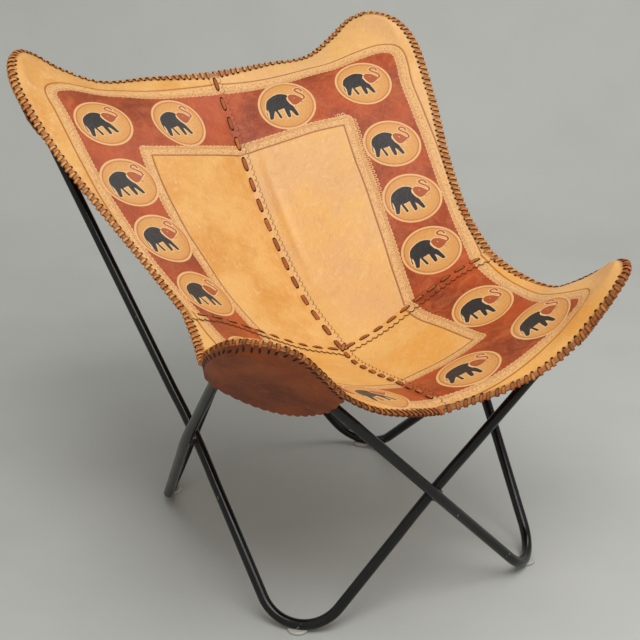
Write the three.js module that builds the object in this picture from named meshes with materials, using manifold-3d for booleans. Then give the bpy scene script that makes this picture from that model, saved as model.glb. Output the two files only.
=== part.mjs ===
// Butterfly sling chair: two bent steel tube loops, welded where they cross, hold a laced leather
// sling by its four corner pockets. Millimetres, +Z up, the front of the chair faces -Y, and the
// origin is on the floor under the middle of the chair.

import * as THREE from 'three';
import { mergeVertices } from 'three/addons/utils/BufferGeometryUtils.js';
import loadManifold from 'manifold-3d';

// Steel frame
const TUBE_DIAMETER = 18;
const TUBE_WALL = 1.5;
const TIP_BEND_RADIUS = 44.5;
const FOOT_BEND_RADIUS = 76;
const BACK_TIP_HALF_WIDTH = 372;
const BACK_TIP_REACH = 446;
const BACK_TIP_HEIGHT = 802;
const FRONT_TIP_HALF_WIDTH = 337;
const FRONT_TIP_REACH = 405;
const FRONT_TIP_HEIGHT = 548;
const BACK_FOOT_HALF_WIDTH = 211;
const BACK_FOOT_REACH = 202;
const FRONT_FOOT_HALF_WIDTH = 228;
const FRONT_FOOT_REACH = 340;
const WELD_RADIUS = 12;

// Plastic glides under the four foot bends
const GLIDE_DIAMETER = 34;
const GLIDE_THICKNESS = 6;
const GLIDE_SEAT_DEPTH = 3;

// Leather sling
const LEATHER_THICKNESS = 3;
const TOP_EDGE_DIP = 60;
const TOP_EDGE_REACH = 434;
const CROSS_SEAM_HEIGHT = 353;
const CROSS_SEAM_SET_FORWARD = 78;
const WAIST_SET_FORWARD = 92;
const WAIST_HALF_WIDTH = 304;
const WAIST_RISE = 135;
const FRONT_EDGE_HEIGHT = 368;
const FRONT_EDGE_REACH = 403;
const BACK_SAG = 50;
const BACK_FULLNESS = 46;
const SEAT_FULLNESS = 20;
const POCKET_SIDE_LENGTH = 165;
const POCKET_END_LENGTH = 200;
const POCKET_MOUTH_SAG = 75;
const LACE_DIAMETER = 8;
const THONG_WIDTH = 5;
const THONG_THICKNESS = 2;
const MIDDLE_THONG_LIFT = 1.5;
const CROSS_THONG_LIFT = 0.4;

// Clearance between pieces that touch on the real chair
const GAP = 0.3;

const TUBE_SIDES = 12;
const BORE_SIDES = 8;
const LACE_SIDES = 6;
const WELD_SIDES = 16;
const WELD_RINGS = 10;
const GLIDE_SIDES = 20;

const tubeRadius = TUBE_DIAMETER / 2;
const laceRadius = LACE_DIAMETER / 2;
const halfLeather = LEATHER_THICKNESS / 2;

const steel = { color: 0x0b0c0d, roughness: 0.28, metalness: 0.55 };
const glidePlastic = { color: 0xe4e2da, roughness: 0.4, metalness: 0 };
const tanLeather = { color: 0xd9a461, roughness: 0.6, metalness: 0 };
const darkLeather = { color: 0x8a4a22, roughness: 0.65, metalness: 0 };
const laceLeather = { color: 0xa0602f, roughness: 0.6, metalness: 0 };

const chair = new THREE.Group();

const vec = (x, y, z) => new THREE.Vector3(x, y, z);
const mirror = (p) => vec(-p.x, p.y, p.z);
const mix = (a, b, t) => a.clone().lerp(b, t);
const along = (p, direction, distance) => p.clone().addScaledVector(direction, distance);
const unit = (from, to) => to.clone().sub(from).normalize();

function addPiece(name, geometry, look) {
  const mesh = new THREE.Mesh(geometry, new THREE.MeshStandardMaterial(look));
  mesh.name = name;
  chair.add(mesh);
}

// A path through given stations, so that a sweep has a ring at each of them and nowhere else
class StationPath extends THREE.Curve {
  constructor(stations, endTangents) {
    super();
    this.stations = stations;
    this.endTangents = endTangents;
  }

  getPointAt(t) {
    return this.stations[Math.round(t * (this.stations.length - 1))].clone();
  }

  getTangentAt(t) {
    const last = this.stations.length - 1;
    const i = Math.round(t * last);
    if (i === 0) return this.endTangents[0].clone();
    if (i === last) return this.endTangents[1].clone();
    const arriving = unit(this.stations[i - 1], this.stations[i]);
    const leaving = unit(this.stations[i], this.stations[i + 1]);
    return arriving.add(leaving).normalize();
  }
}

function polygonPoints(radius, sides) {
  const corners = [];
  for (let i = 0; i < sides; i += 1) {
    const angle = (2 * Math.PI * i) / sides;
    corners.push(new THREE.Vector2(radius * Math.cos(angle), radius * Math.sin(angle)));
  }
  return corners;
}

function sweep(shape, stations, endTangents) {
  const straight = [unit(stations[0], stations[1]), unit(stations.at(-2), stations.at(-1))];
  return new THREE.ExtrudeGeometry(shape, {
    extrudePath: new StationPath(stations, endTangents ?? straight),
    steps: stations.length - 1,
  });
}

function tubeShape() {
  const shape = new THREE.Shape(polygonPoints(tubeRadius, TUBE_SIDES));
  shape.holes.push(new THREE.Path(polygonPoints(tubeRadius - TUBE_WALL, BORE_SIDES)));
  return shape;
}

const rodShape = (radius, sides) => new THREE.Shape(polygonPoints(radius, sides));

// Joins and cuts of closed meshes
const wasm = await loadManifold();
wasm.setup();

function toManifold(geometry) {
  const bare = geometry.clone();
  bare.deleteAttribute('normal');
  bare.deleteAttribute('uv');
  const merged = mergeVertices(bare, 1e-3);
  return new wasm.Manifold(new wasm.Mesh({
    numProp: 3,
    vertProperties: new Float32Array(merged.attributes.position.array),
    triVerts: new Uint32Array(merged.index.array),
  }));
}

function toGeometry(solid) {
  const mesh = solid.getMesh();
  const geometry = new THREE.BufferGeometry();
  geometry.setAttribute('position', new THREE.BufferAttribute(mesh.vertProperties, 3));
  geometry.setIndex(new THREE.BufferAttribute(mesh.triVerts, 1));
  geometry.computeVertexNormals();
  return geometry;
}

// Frame corners: each is the middle of a bend on the tube's centre line
const footHeight = GLIDE_THICKNESS - GLIDE_SEAT_DEPTH + tubeRadius;
const rightCorners = {
  back_tip: vec(BACK_TIP_HALF_WIDTH, BACK_TIP_REACH, BACK_TIP_HEIGHT),
  front_tip: vec(FRONT_TIP_HALF_WIDTH, -FRONT_TIP_REACH, FRONT_TIP_HEIGHT),
  back_foot: vec(BACK_FOOT_HALF_WIDTH, BACK_FOOT_REACH, footHeight),
  front_foot: vec(FRONT_FOOT_HALF_WIDTH, -FRONT_FOOT_REACH, footHeight),
};
const corners = {};
for (const [kind, middle] of Object.entries(rightCorners)) {
  const radius = kind.endsWith('tip') ? TIP_BEND_RADIUS : FOOT_BEND_RADIUS;
  corners[`${kind}_right`] = { middle, radius, apex: middle.clone() };
  corners[`${kind}_left`] = { middle: mirror(middle), radius, apex: mirror(middle) };
}

// Each leg runs from a tip to a foot; a leg crosses the leg that is listed beside it
const crossings = {
  front: [['front_tip_left', 'front_foot_right'], ['front_tip_right', 'front_foot_left']],
  back: [['back_tip_right', 'back_foot_left'], ['back_tip_left', 'back_foot_right']],
  left: [['front_tip_left', 'back_foot_left'], ['back_tip_left', 'front_foot_left']],
  right: [['front_tip_right', 'back_foot_right'], ['back_tip_right', 'front_foot_right']],
};
const legs = Object.values(crossings).flat();

const legsAt = (name) => legs.filter((leg) => leg.includes(name));
const legMiddle = new Map();
const weldPoints = {};

// At a crossing the two legs bow past each other by half a tube each and are welded side by side
function settleCrossing(side) {
  const [outerLeg, innerLeg] = crossings[side];
  const [a, b] = outerLeg.map((name) => corners[name].apex);
  const [c, d] = innerLeg.map((name) => corners[name].apex);
  const first = unit(a, b);
  const second = unit(c, d);
  const normal = first.clone().cross(second).normalize();
  const towardsOuter = side === 'back' ? vec(0, -1, 0) : mix(a, b, 0.5).setZ(0);
  if (normal.dot(towardsOuter) < 0) normal.negate();
  const between = c.clone().sub(a);
  const cosine = first.dot(second);
  const firstRun = between.dot(first) - cosine * between.dot(second);
  const secondRun = cosine * between.dot(first) - between.dot(second);
  const nearFirst = along(a, first, firstRun / (1 - cosine * cosine));
  const nearSecond = along(c, second, secondRun / (1 - cosine * cosine));
  const contact = mix(nearFirst, nearSecond, 0.5);
  const offset = tubeRadius + GAP / 2;
  legMiddle.set(outerLeg.join(), along(contact, normal, offset));
  legMiddle.set(innerLeg.join(), along(contact, normal, -offset));
  weldPoints[side] = contact;
}

// The point where a bend's two legs would meet lies past its middle
function settleCorner(name) {
  const corner = corners[name];
  const [first, second] = legsAt(name).map((leg) => unit(corner.apex, legMiddle.get(leg.join())));
  const halfAngle = first.angleTo(second) / 2;
  const bisector = first.clone().add(second).normalize();
  corner.apex = along(corner.middle, bisector, corner.radius - corner.radius / Math.sin(halfAngle));
}

const SETTLING_PASSES = 12;
for (let pass = 0; pass < SETTLING_PASSES; pass += 1) {
  Object.keys(crossings).forEach(settleCrossing);
  Object.keys(corners).forEach(settleCorner);
}

function bend(name) {
  const { apex, radius } = corners[name];
  const [first, second] = legsAt(name).map((leg) => unit(apex, legMiddle.get(leg.join())));
  const halfAngle = first.angleTo(second) / 2;
  const bisector = first.clone().add(second).normalize();
  const run = radius / Math.tan(halfAngle);
  const centre = along(apex, bisector, radius / Math.sin(halfAngle));
  const start = along(apex, first, run);
  const end = along(apex, second, run);
  return { apex, first, second, bisector, run, radius, centre, start, end };
}

const BEND_STEPS = 8;
function bendStations(name) {
  const { centre, start, end, radius } = bend(name);
  const from = unit(centre, start);
  const axis = from.clone().cross(unit(centre, end)).normalize();
  const sweepAngle = from.angleTo(unit(centre, end));
  const stations = [];
  for (let i = 0; i <= BEND_STEPS; i += 1) {
    const arm = from.clone().applyAxisAngle(axis, (sweepAngle * i) / BEND_STEPS);
    stations.push(along(centre, arm, radius));
  }
  return stations;
}

function bendSweep(name, shape) {
  const { first, second } = bend(name);
  return sweep(shape, bendStations(name), [first.clone().negate(), second]);
}

function legStations(leg) {
  const [tip, foot] = leg;
  const middle = legMiddle.get(leg.join());
  const tipEnd = along(corners[tip].apex, unit(corners[tip].apex, middle), bend(tip).run + GAP);
  const footEnd = along(corners[foot].apex, unit(corners[foot].apex, middle), bend(foot).run + GAP);
  return [tipEnd, mix(tipEnd, middle, 0.5), middle, mix(middle, footEnd, 0.5), footEnd];
}

for (const leg of legs) {
  addPiece(`leg_${leg[0]}_to_${leg[1]}`, sweep(tubeShape(), legStations(leg)), steel);
}
for (const name of Object.keys(corners)) {
  addPiece(`bend_${name}`, bendSweep(name, tubeShape()), steel);
}

// A weld fills the corner between two crossing tubes. The rod that cuts it has its flat sides clear of
// the tube, so the weld is always open at the point where the tubes touch.
const clearRod = rodShape((tubeRadius + GAP) / Math.cos(Math.PI / TUBE_SIDES), TUBE_SIDES);
for (const [side, pair] of Object.entries(crossings)) {
  const ball = new THREE.SphereGeometry(WELD_RADIUS, WELD_SIDES, WELD_RINGS);
  ball.translate(weldPoints[side].x, weldPoints[side].y, weldPoints[side].z);
  let bead = toManifold(ball);
  for (const leg of pair) {
    bead = bead.subtract(toManifold(sweep(clearRod, legStations(leg))));
  }
  addPiece(`weld_${side}`, toGeometry(bead), steel);
}

// A glide is a disc with a saddle in its top for the foot bend
const GLIDE_CHAMFER = 1.5;
const glideRadius = GLIDE_DIAMETER / 2;
const glideProfile = [
  new THREE.Vector2(0, 0),
  new THREE.Vector2(glideRadius - GLIDE_CHAMFER, 0),
  new THREE.Vector2(glideRadius, GLIDE_CHAMFER),
  new THREE.Vector2(glideRadius, GLIDE_THICKNESS - GLIDE_CHAMFER),
  new THREE.Vector2(glideRadius - GLIDE_CHAMFER, GLIDE_THICKNESS),
  new THREE.Vector2(0, GLIDE_THICKNESS),
];
for (const name of Object.keys(corners).filter((corner) => corner.includes('foot'))) {
  const lowest = bendStations(name).reduce((low, p) => p.z < low.z ? p : low);
  const disc = new THREE.LatheGeometry(glideProfile, GLIDE_SIDES);
  disc.rotateX(Math.PI / 2);
  disc.translate(lowest.x, lowest.y, 0);
  const saddle = toManifold(disc).subtract(toManifold(bendSweep(name, clearRod)));
  addPiece(`glide_${name}`, toGeometry(saddle), glidePlastic);
}

// Outline of the right half of the sling, along the middle of its lacing. Points near a pocket are
// set from the middle of the tip bend inside it.
const fromBackTip = (x, y, z) => rightCorners.back_tip.clone().add(vec(x, y, z));
const fromFrontTip = (x, y, z) => rightCorners.front_tip.clone().add(vec(x, y, z));
const topMiddle = vec(0, TOP_EDGE_REACH, BACK_TIP_HEIGHT - TOP_EDGE_DIP);
const crossMiddle = vec(0, -CROSS_SEAM_SET_FORWARD, CROSS_SEAM_HEIGHT);
const frontMiddle = vec(0, -FRONT_EDGE_REACH, FRONT_EDGE_HEIGHT);
const waist = vec(WAIST_HALF_WIDTH, -WAIST_SET_FORWARD, CROSS_SEAM_HEIGHT + WAIST_RISE);
const backCorner = fromBackTip(8, 10, 17);
const frontCorner = fromFrontTip(10, -9, 17);

const topEdge = [
  topMiddle,
  mix(topMiddle, fromBackTip(-152, 10, -57), 0.55),
  fromBackTip(-152, 10, -57),
  fromBackTip(-87, 32, -31),
  fromBackTip(-40, 42, -1),
  fromBackTip(-10, 28, 14),
  backCorner,
];
const sideEdgeBack = [
  backCorner,
  fromBackTip(32, -28, 9),
  fromBackTip(44, -80, -21),
  fromBackTip(20, -198, -114),
  mix(waist, fromBackTip(20, -198, -114), 0.6).add(vec(-4, 22, -2)),
  mix(waist, fromBackTip(20, -198, -114), 0.27).add(vec(-10, 8, -12)),
  waist,
];
const backFront = unit(topMiddle, crossMiddle).cross(vec(1, 0, 0)).normalize();
if (backFront.z < 0) backFront.negate();
const middleBack = [
  topMiddle,
  along(mix(topMiddle, crossMiddle, 0.25), backFront, -0.5 * BACK_SAG),
  along(mix(topMiddle, crossMiddle, 0.5), backFront, -BACK_SAG),
  along(mix(topMiddle, crossMiddle, 0.78), backFront, -0.9 * BACK_SAG),
  crossMiddle,
];
const crossSeam = [
  crossMiddle,
  mix(crossMiddle, waist, 0.26).add(vec(0, 6, -10)),
  mix(crossMiddle, waist, 0.53).add(vec(0, 9, -4)),
  mix(crossMiddle, waist, 0.77).add(vec(0, 7, 3)),
  waist,
];
const middleSeat = [
  crossMiddle,
  mix(crossMiddle, frontMiddle, 0.12).add(vec(0, 0, -9)),
  mix(crossMiddle, frontMiddle, 0.36).add(vec(0, 0, -6)),
  mix(crossMiddle, frontMiddle, 0.66).add(vec(0, 0, 4)),
  mix(crossMiddle, frontMiddle, 0.9).add(vec(0, 0, 10)),
  frontMiddle,
];
const sideEdgeSeat = [
  waist,
  mix(waist, fromFrontTip(23, 120, -60), 0.38).add(vec(-6, 0, -22)),
  mix(waist, fromFrontTip(23, 120, -60), 0.74).add(vec(-4, 0, -27)),
  fromFrontTip(23, 120, -60),
  fromFrontTip(38, 75, -28),
  fromFrontTip(31, 30, 1),
  frontCorner,
];
const frontEdge = [
  frontMiddle,
  mix(frontMiddle, fromFrontTip(-129, -61, -86), 0.43).add(vec(0, -16, -6)),
  mix(frontMiddle, fromFrontTip(-129, -61, -86), 0.72).add(vec(0, -12, -10)),
  fromFrontTip(-129, -61, -86),
  fromFrontTip(-83, -66, -35),
  fromFrontTip(-48, -63, 2),
  fromFrontTip(-15, -42, 17),
  frontCorner,
];

const curveThrough = (points) => new THREE.CatmullRomCurve3(points, false, 'centripetal');

// A sheet that fills four edges: top and bottom run across it, near and far run down it
function sheetBetween(top, bottom, near, far) {
  const [topCurve, bottomCurve, nearCurve, farCurve] = [top, bottom, near, far].map(curveThrough);
  const lengthAcross = (topCurve.getLength() + bottomCurve.getLength()) / 2;
  const lengthDown = (nearCurve.getLength() + farCurve.getLength()) / 2;
  const point = (u, v) => {
    const p = mix(topCurve.getPointAt(u), bottomCurve.getPointAt(u), v);
    p.add(mix(nearCurve.getPointAt(v), farCurve.getPointAt(v), u));
    const upper = mix(topCurve.getPointAt(0), topCurve.getPointAt(1), u);
    const lower = mix(bottomCurve.getPointAt(0), bottomCurve.getPointAt(1), u);
    return p.sub(mix(upper, lower, v));
  };
  return { point, lengthAcross, lengthDown, edges: { topCurve, bottomCurve, farCurve } };
}

// Over a tip the leather is stretched from its rim across the bent tube. A tip's plane holds the
// bend and both legs; "down" runs from the tip between the legs. Left tips are mirrored to the right,
// where all of the leather is worked out.
function tipPlane(name) {
  const { first, second, bisector, centre, radius } = bend(name);
  const outward = first.clone().cross(second).normalize();
  if (outward.z > 0) outward.negate();
  const halfAngle = first.angleTo(second) / 2;
  const plane = { centre, radius, halfAngle, outward, down: bisector };
  if (name.endsWith('left')) {
    for (const key of ['centre', 'outward', 'down']) plane[key] = mirror(plane[key]);
  }
  plane.across = plane.outward.clone().cross(plane.down);
  return plane;
}

const heightOutside = (plane, p) => p.clone().sub(plane.centre).dot(plane.outward);

function distanceOutsideTube(plane, p) {
  const local = p.clone().sub(plane.centre);
  const down = local.dot(plane.down);
  const across = Math.abs(local.dot(plane.across));
  const sine = Math.sin(plane.halfAngle);
  const cosine = Math.cos(plane.halfAngle);
  const beyondBend = across * sine < -down * cosine;
  const distance = beyondBend ? Math.hypot(down, across) : across * cosine - down * sine;
  return Math.max(distance - plane.radius, 0);
}

const POCKET_SLACK = 2.5;
const LIFT_BLEND = 4;
const POCKET_FADE = 0.45;
const pocketLift = tubeRadius + GAP + halfLeather + POCKET_SLACK;
const edgeLift = halfLeather + GAP / 2;

// Height of a stretched layer above the tip's plane, from the height it would have without the tube
function stretchedHeight(plane, p, height, rimDistance) {
  const toTube = Math.max(distanceOutsideTube(plane, p) - tubeRadius / 2, 0);
  const ramp = rimDistance / (rimDistance + toTube);
  const lifted = Math.hypot(height - pocketLift, LIFT_BLEND) / 2 + (height + pocketLift) / 2;
  const beyondPocket = p.distanceTo(plane.centre) / POCKET_END_LENGTH - 1;
  const fade = 1 - THREE.MathUtils.smoothstep(beyondPocket, 0, POCKET_FADE);
  return height + fade * (edgeLift * (1 - ramp) + (lifted - height) * ramp);
}

const backSheet = sheetBetween(topEdge, crossSeam, middleBack, sideEdgeBack);
const seatSheet = sheetBetween(crossSeam, frontEdge, middleSeat, sideEdgeSeat);
const { topCurve: topLace, farCurve: backSideLace } = backSheet.edges;
const { bottomCurve: frontLace, farCurve: seatSideLace } = seatSheet.edges;

// Leather stops short of the lacing round its rim, which runs straight between its own stations
const LACE_STEPS_PER_POINT = 5;
const RIM_SAMPLES_PER_STEP = 6;
const LACE_CLEARANCE = 0.96;
const edgeInset = laceRadius + LACE_CLEARANCE;
const laceStations = (curve) => curve.getPoints(LACE_STEPS_PER_POINT * (curve.points.length - 1));
const rimPoints = [];
for (const curve of [topLace, backSideLace, seatSideLace, frontLace]) {
  const stations = laceStations(curve);
  for (let i = 1; i < stations.length; i += 1) {
    for (let j = 0; j <= RIM_SAMPLES_PER_STEP; j += 1) {
      rimPoints.push(mix(stations[i - 1], stations[i], j / RIM_SAMPLES_PER_STEP));
    }
  }
}
function nearestOnRim(p) {
  let nearest = rimPoints[0];
  for (const q of rimPoints) {
    if (q.distanceToSquared(p) < nearest.distanceToSquared(p)) nearest = q;
  }
  return nearest;
}

function clearOfRim(p, inset) {
  const nearest = nearestOnRim(p);
  return nearest.distanceTo(p) < inset ? along(nearest, unit(nearest, p), inset) : p;
}

function stretchOver(plane, p) {
  const height = -heightOutside(plane, p);
  const stretched = stretchedHeight(plane, p, height, nearestOnRim(p).distanceTo(p));
  return along(p, plane.outward, height - stretched);
}

// The panels belly forward and up between their seams and the rim, the back most just above its middle
const BACK_BULGE_POWER = 0.8;
const bulge = (share) => Math.sin(Math.PI * share);
function backSurface(side) {
  const plane = tipPlane(`back_tip_${side}`);
  return (u, v) => {
    const fullness = BACK_FULLNESS * bulge(u) * bulge(v ** BACK_BULGE_POWER);
    return stretchOver(plane, along(backSheet.point(u, v), backFront, fullness));
  };
}

function seatSurface(side) {
  const plane = tipPlane(`front_tip_${side}`);
  return (u, v) => {
    const fullness = SEAT_FULLNESS * bulge(u) * bulge(v);
    return stretchOver(plane, seatSheet.point(u, v).add(vec(0, 0, fullness)));
  };
}

// Stations close up towards a laced edge, where the leather bends over the tube
const FIRST_STEP = 9;
const STEP_GROWTH = 1.35;
const LONGEST_STEP_ACROSS = 48;
const LONGEST_STEP_DOWN = 22;
const SHORTEST_LAST_STEP = 0.6;
function stationsFromEdge(length, longestStep, edgeInset, seamInset) {
  const shares = [edgeInset / length];
  let step = FIRST_STEP;
  let distance = edgeInset + step;
  while (distance < length - seamInset - step * SHORTEST_LAST_STEP) {
    shares.push(distance / length);
    step = Math.min(step * STEP_GROWTH, longestStep);
    distance += step;
  }
  shares.push(1 - seamInset / length);
  return shares;
}

function surfaceNormal(point, u, v) {
  const h = 1e-3;
  const acrossPanel = point(Math.min(u + h, 1), v).sub(point(Math.max(u - h, 0), v));
  const downPanel = point(u, Math.min(v + h, 1)).sub(point(u, Math.max(v - h, 0)));
  return downPanel.cross(acrossPanel).normalize();
}

const seamInset = GAP / 2;

// Panels share one normal along a seam, so that neighbours part evenly through their thickness
const ON_SEAM = 0.001;
function panelNormal(side, kind, u, v) {
  const back = backSurface(side);
  const seat = seatSurface(side);
  const onCrossSeam = kind === 'back' ? v > 1 - ON_SEAM : v < ON_SEAM;
  const normal = onCrossSeam
    ? surfaceNormal(back, u, 1).add(surfaceNormal(seat, u, 0))
    : surfaceNormal(kind === 'back' ? back : seat, u, v);
  if (u < ON_SEAM) normal.setX(0);
  return normal.normalize();
}

// A closed shell around a grid of points, half its thickness to each side
function thickGrid(rows, normals, thickness) {
  const rowCount = rows.length;
  const columnCount = rows[0].length;
  const positions = [];
  const index = [];
  for (const side of [1, -1]) {
    rows.forEach((row, r) => row.forEach((p, c) => {
      positions.push(...along(p, normals[r][c], (side * thickness) / 2).toArray());
    }));
  }
  const at = (side, r, c) => side * rowCount * columnCount + r * columnCount + c;
  const quad = (a, b, c, d) => index.push(a, b, c, a, c, d);
  for (let r = 0; r < rowCount - 1; r += 1) {
    for (let c = 0; c < columnCount - 1; c += 1) {
      quad(at(0, r, c), at(0, r + 1, c), at(0, r + 1, c + 1), at(0, r, c + 1));
      quad(at(1, r, c), at(1, r, c + 1), at(1, r + 1, c + 1), at(1, r + 1, c));
    }
  }
  for (let r = 0; r < rowCount - 1; r += 1) {
    const last = columnCount - 1;
    quad(at(0, r, 0), at(1, r, 0), at(1, r + 1, 0), at(0, r + 1, 0));
    quad(at(0, r, last), at(0, r + 1, last), at(1, r + 1, last), at(1, r, last));
  }
  for (let c = 0; c < columnCount - 1; c += 1) {
    const last = rowCount - 1;
    quad(at(0, 0, c), at(0, 0, c + 1), at(1, 0, c + 1), at(1, 0, c));
    quad(at(0, last, c), at(1, last, c), at(1, last, c + 1), at(0, last, c + 1));
  }
  const geometry = new THREE.BufferGeometry();
  geometry.setAttribute('position', new THREE.Float32BufferAttribute(positions, 3));
  geometry.setIndex(index);
  geometry.computeVertexNormals();
  return geometry;
}

function mirrorGeometry(geometry) {
  const copy = geometry.clone();
  copy.scale(-1, 1, 1);
  const index = copy.index.array;
  for (let i = 0; i < index.length; i += 3) {
    [index[i + 1], index[i + 2]] = [index[i + 2], index[i + 1]];
  }
  copy.computeVertexNormals();
  return copy;
}

// Adds a right and a left piece from a function that works out either of them on the right side
function addPair(name, geometryFor, look) {
  addPiece(`${name}_right`, geometryFor('right'), look);
  addPiece(`${name}_left`, mirrorGeometry(geometryFor('left')), look);
}

// Both panels of a side have the same stations along the cross seam, counted from its middle
const halfWidth = (backSheet.lengthAcross + seatSheet.lengthAcross) / 2;
const across = stationsFromEdge(halfWidth, LONGEST_STEP_ACROSS, edgeInset, seamInset)
  .map((share) => 1 - share)
  .reverse();

function panelGeometry(side, kind) {
  const sheet = kind === 'back' ? backSheet : seatSheet;
  const surface = kind === 'back' ? backSurface(side) : seatSurface(side);
  const fromEdge = stationsFromEdge(sheet.lengthDown, LONGEST_STEP_DOWN, edgeInset, seamInset);
  const down = kind === 'back' ? fromEdge : fromEdge.map((share) => 1 - share).reverse();
  const rows = down.map((v) => across.map((u) => clearOfRim(surface(u, v), edgeInset)));
  const normals = down.map((v) => across.map((u) => panelNormal(side, kind, u, v)));
  return thickGrid(rows, normals, LEATHER_THICKNESS);
}

addPair('panel_back', (side) => panelGeometry(side, 'back'), tanLeather);
addPair('panel_seat', (side) => panelGeometry(side, 'seat'), tanLeather);

// A pocket is a flap under a corner: laced to the panel round the corner, open towards the legs
const FLAP_ACROSS_STEPS = 20;
const FLAP_END_MARGIN = 0.04;
const flapInset = edgeInset + 2 * GAP;
const FLAP_DEPTH_SHARES = [0.02, 0.05, 0.08, 0.12, 0.18, 0.3, 0.6, 1];

// An arm is a stretch of laced edge measured from the pocket's tip
const pointOnArm = ({ curve, fromEnd }, distance) => {
  const share = distance / curve.getLength();
  return curve.getPointAt(fromEnd ? 1 - share : share);
};

function pocketGeometry(plane, firstArm, secondArm) {
  const total = firstArm.length + secondArm.length;
  const lacedAt = (s) => {
    const distance = s * total - firstArm.length;
    return distance < 0 ? pointOnArm(firstArm, -distance) : pointOnArm(secondArm, distance);
  };
  const mouthAt = (s) => {
    const chord = mix(lacedAt(0), lacedAt(1), s);
    return along(chord, plane.down, POCKET_MOUTH_SAG * 4 * s * (1 - s));
  };
  const flapPoint = (s, t) => {
    const laced = lacedAt(s);
    const p = clearOfRim(mix(laced, mouthAt(s), t), flapInset);
    const height = heightOutside(plane, laced) * (1 - t);
    const stretched = stretchedHeight(plane, p, height, nearestOnRim(p).distanceTo(p));
    return clearOfRim(along(p, plane.outward, stretched - heightOutside(plane, p)), flapInset);
  };
  const rows = [];
  for (let i = FLAP_ACROSS_STEPS; i >= 0; i -= 1) {
    const s = FLAP_END_MARGIN + (1 - 2 * FLAP_END_MARGIN) * (i / FLAP_ACROSS_STEPS);
    rows.push(FLAP_DEPTH_SHARES.map((t) => flapPoint(s, t)));
  }
  const normals = rows.map((row) => row.map(() => plane.outward));
  return thickGrid(rows, normals, LEATHER_THICKNESS);
}

const backSideArm = { curve: backSideLace, fromEnd: false, length: POCKET_SIDE_LENGTH };
const topArm = { curve: topLace, fromEnd: true, length: POCKET_END_LENGTH };
const frontArm = { curve: frontLace, fromEnd: true, length: POCKET_END_LENGTH };
const seatSideArm = { curve: seatSideLace, fromEnd: true, length: POCKET_SIDE_LENGTH };
const backPocket = (side) => pocketGeometry(tipPlane(`back_tip_${side}`), backSideArm, topArm);
const frontPocket = (side) => pocketGeometry(tipPlane(`front_tip_${side}`), frontArm, seatSideArm);
addPair('pocket_back', backPocket, darkLeather);
addPair('pocket_front', frontPocket, darkLeather);

// Lacing round the rim, in four runs that meet at the pocket tips
const laceShape = rodShape(laceRadius, LACE_SIDES);
const shortened = (stations) => {
  const first = along(stations[0], unit(stations[0], stations[1]), laceRadius);
  const last = along(stations.at(-1), unit(stations.at(-1), stations.at(-2)), laceRadius);
  return [first, ...stations.slice(1, -1), last];
};
function rimAcross(curve) {
  const right = laceStations(curve);
  return [...right.slice(1).reverse().map(mirror), ...right];
}
addPiece('edge_lacing_top', sweep(laceShape, shortened(rimAcross(topLace))), laceLeather);
addPiece('edge_lacing_front', sweep(laceShape, shortened(rimAcross(frontLace))), laceLeather);
const rimRight = [...laceStations(backSideLace), ...laceStations(seatSideLace).slice(1)];
addPiece('edge_lacing_right', sweep(laceShape, shortened(rimRight)), laceLeather);
addPiece('edge_lacing_left', sweep(laceShape, shortened(rimRight.map(mirror))), laceLeather);

// Thongs along the seams lie on the face of the panels, lifted a little by the fold of the seam
function thongGeometry(stations, normals, acrossAt, lift) {
  const thongHeight = halfLeather + lift + THONG_THICKNESS / 2;
  const rows = stations.map((p, i) => [-1, 1].map((side) => {
    const raised = along(p, normals[i], thongHeight);
    return along(raised, acrossAt(i), (side * THONG_WIDTH) / 2);
  }));
  return thickGrid(rows, normals.map((normal) => [normal, normal]), THONG_THICKNESS);
}

function middleThong(kind) {
  const sheet = kind === 'back' ? backSheet : seatSheet;
  const surface = kind === 'back' ? backSurface('right') : seatSurface('right');
  const fromEdge = stationsFromEdge(sheet.lengthDown, LONGEST_STEP_DOWN, 2 * edgeInset, THONG_WIDTH);
  const down = kind === 'back' ? fromEdge : fromEdge.map((share) => 1 - share).reverse();
  const stations = down.map((v) => surface(0, v));
  const normals = down.map((v) => panelNormal('right', kind, 0, v));
  return thongGeometry(stations, normals, () => vec(1, 0, 0), MIDDLE_THONG_LIFT);
}
addPiece('seam_thong_back_middle', middleThong('back'), laceLeather);
addPiece('seam_thong_seat_middle', middleThong('seat'), laceLeather);

const crossShares = [THONG_WIDTH / halfWidth, ...across.slice(1, -1)];
function crossThong(side) {
  const stations = crossShares.map((u) => backSurface(side)(u, 1));
  const normals = crossShares.map((u) => panelNormal(side, 'back', u, 1));
  const acrossAt = (i) => {
    const after = stations[Math.min(i + 1, stations.length - 1)];
    const before = stations[Math.max(i - 1, 0)];
    return normals[i].clone().cross(unit(before, after)).normalize();
  };
  return thongGeometry(stations, normals, acrossAt, CROSS_THONG_LIFT);
}
addPair('seam_thong_cross', crossThong, laceLeather);

// The chair stands with the middle of its outline over the origin
const outline = new THREE.Box3();
chair.children.forEach((mesh) => outline.expandByObject(mesh));
const middle = outline.getCenter(vec(0, 0, 0));
for (const mesh of chair.children) {
  mesh.geometry.translate(-middle.x, -middle.y, 0);
}

export default chair;
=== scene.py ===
import bpy
import numpy as np
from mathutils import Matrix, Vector
from mathutils.kdtree import KDTree


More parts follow.
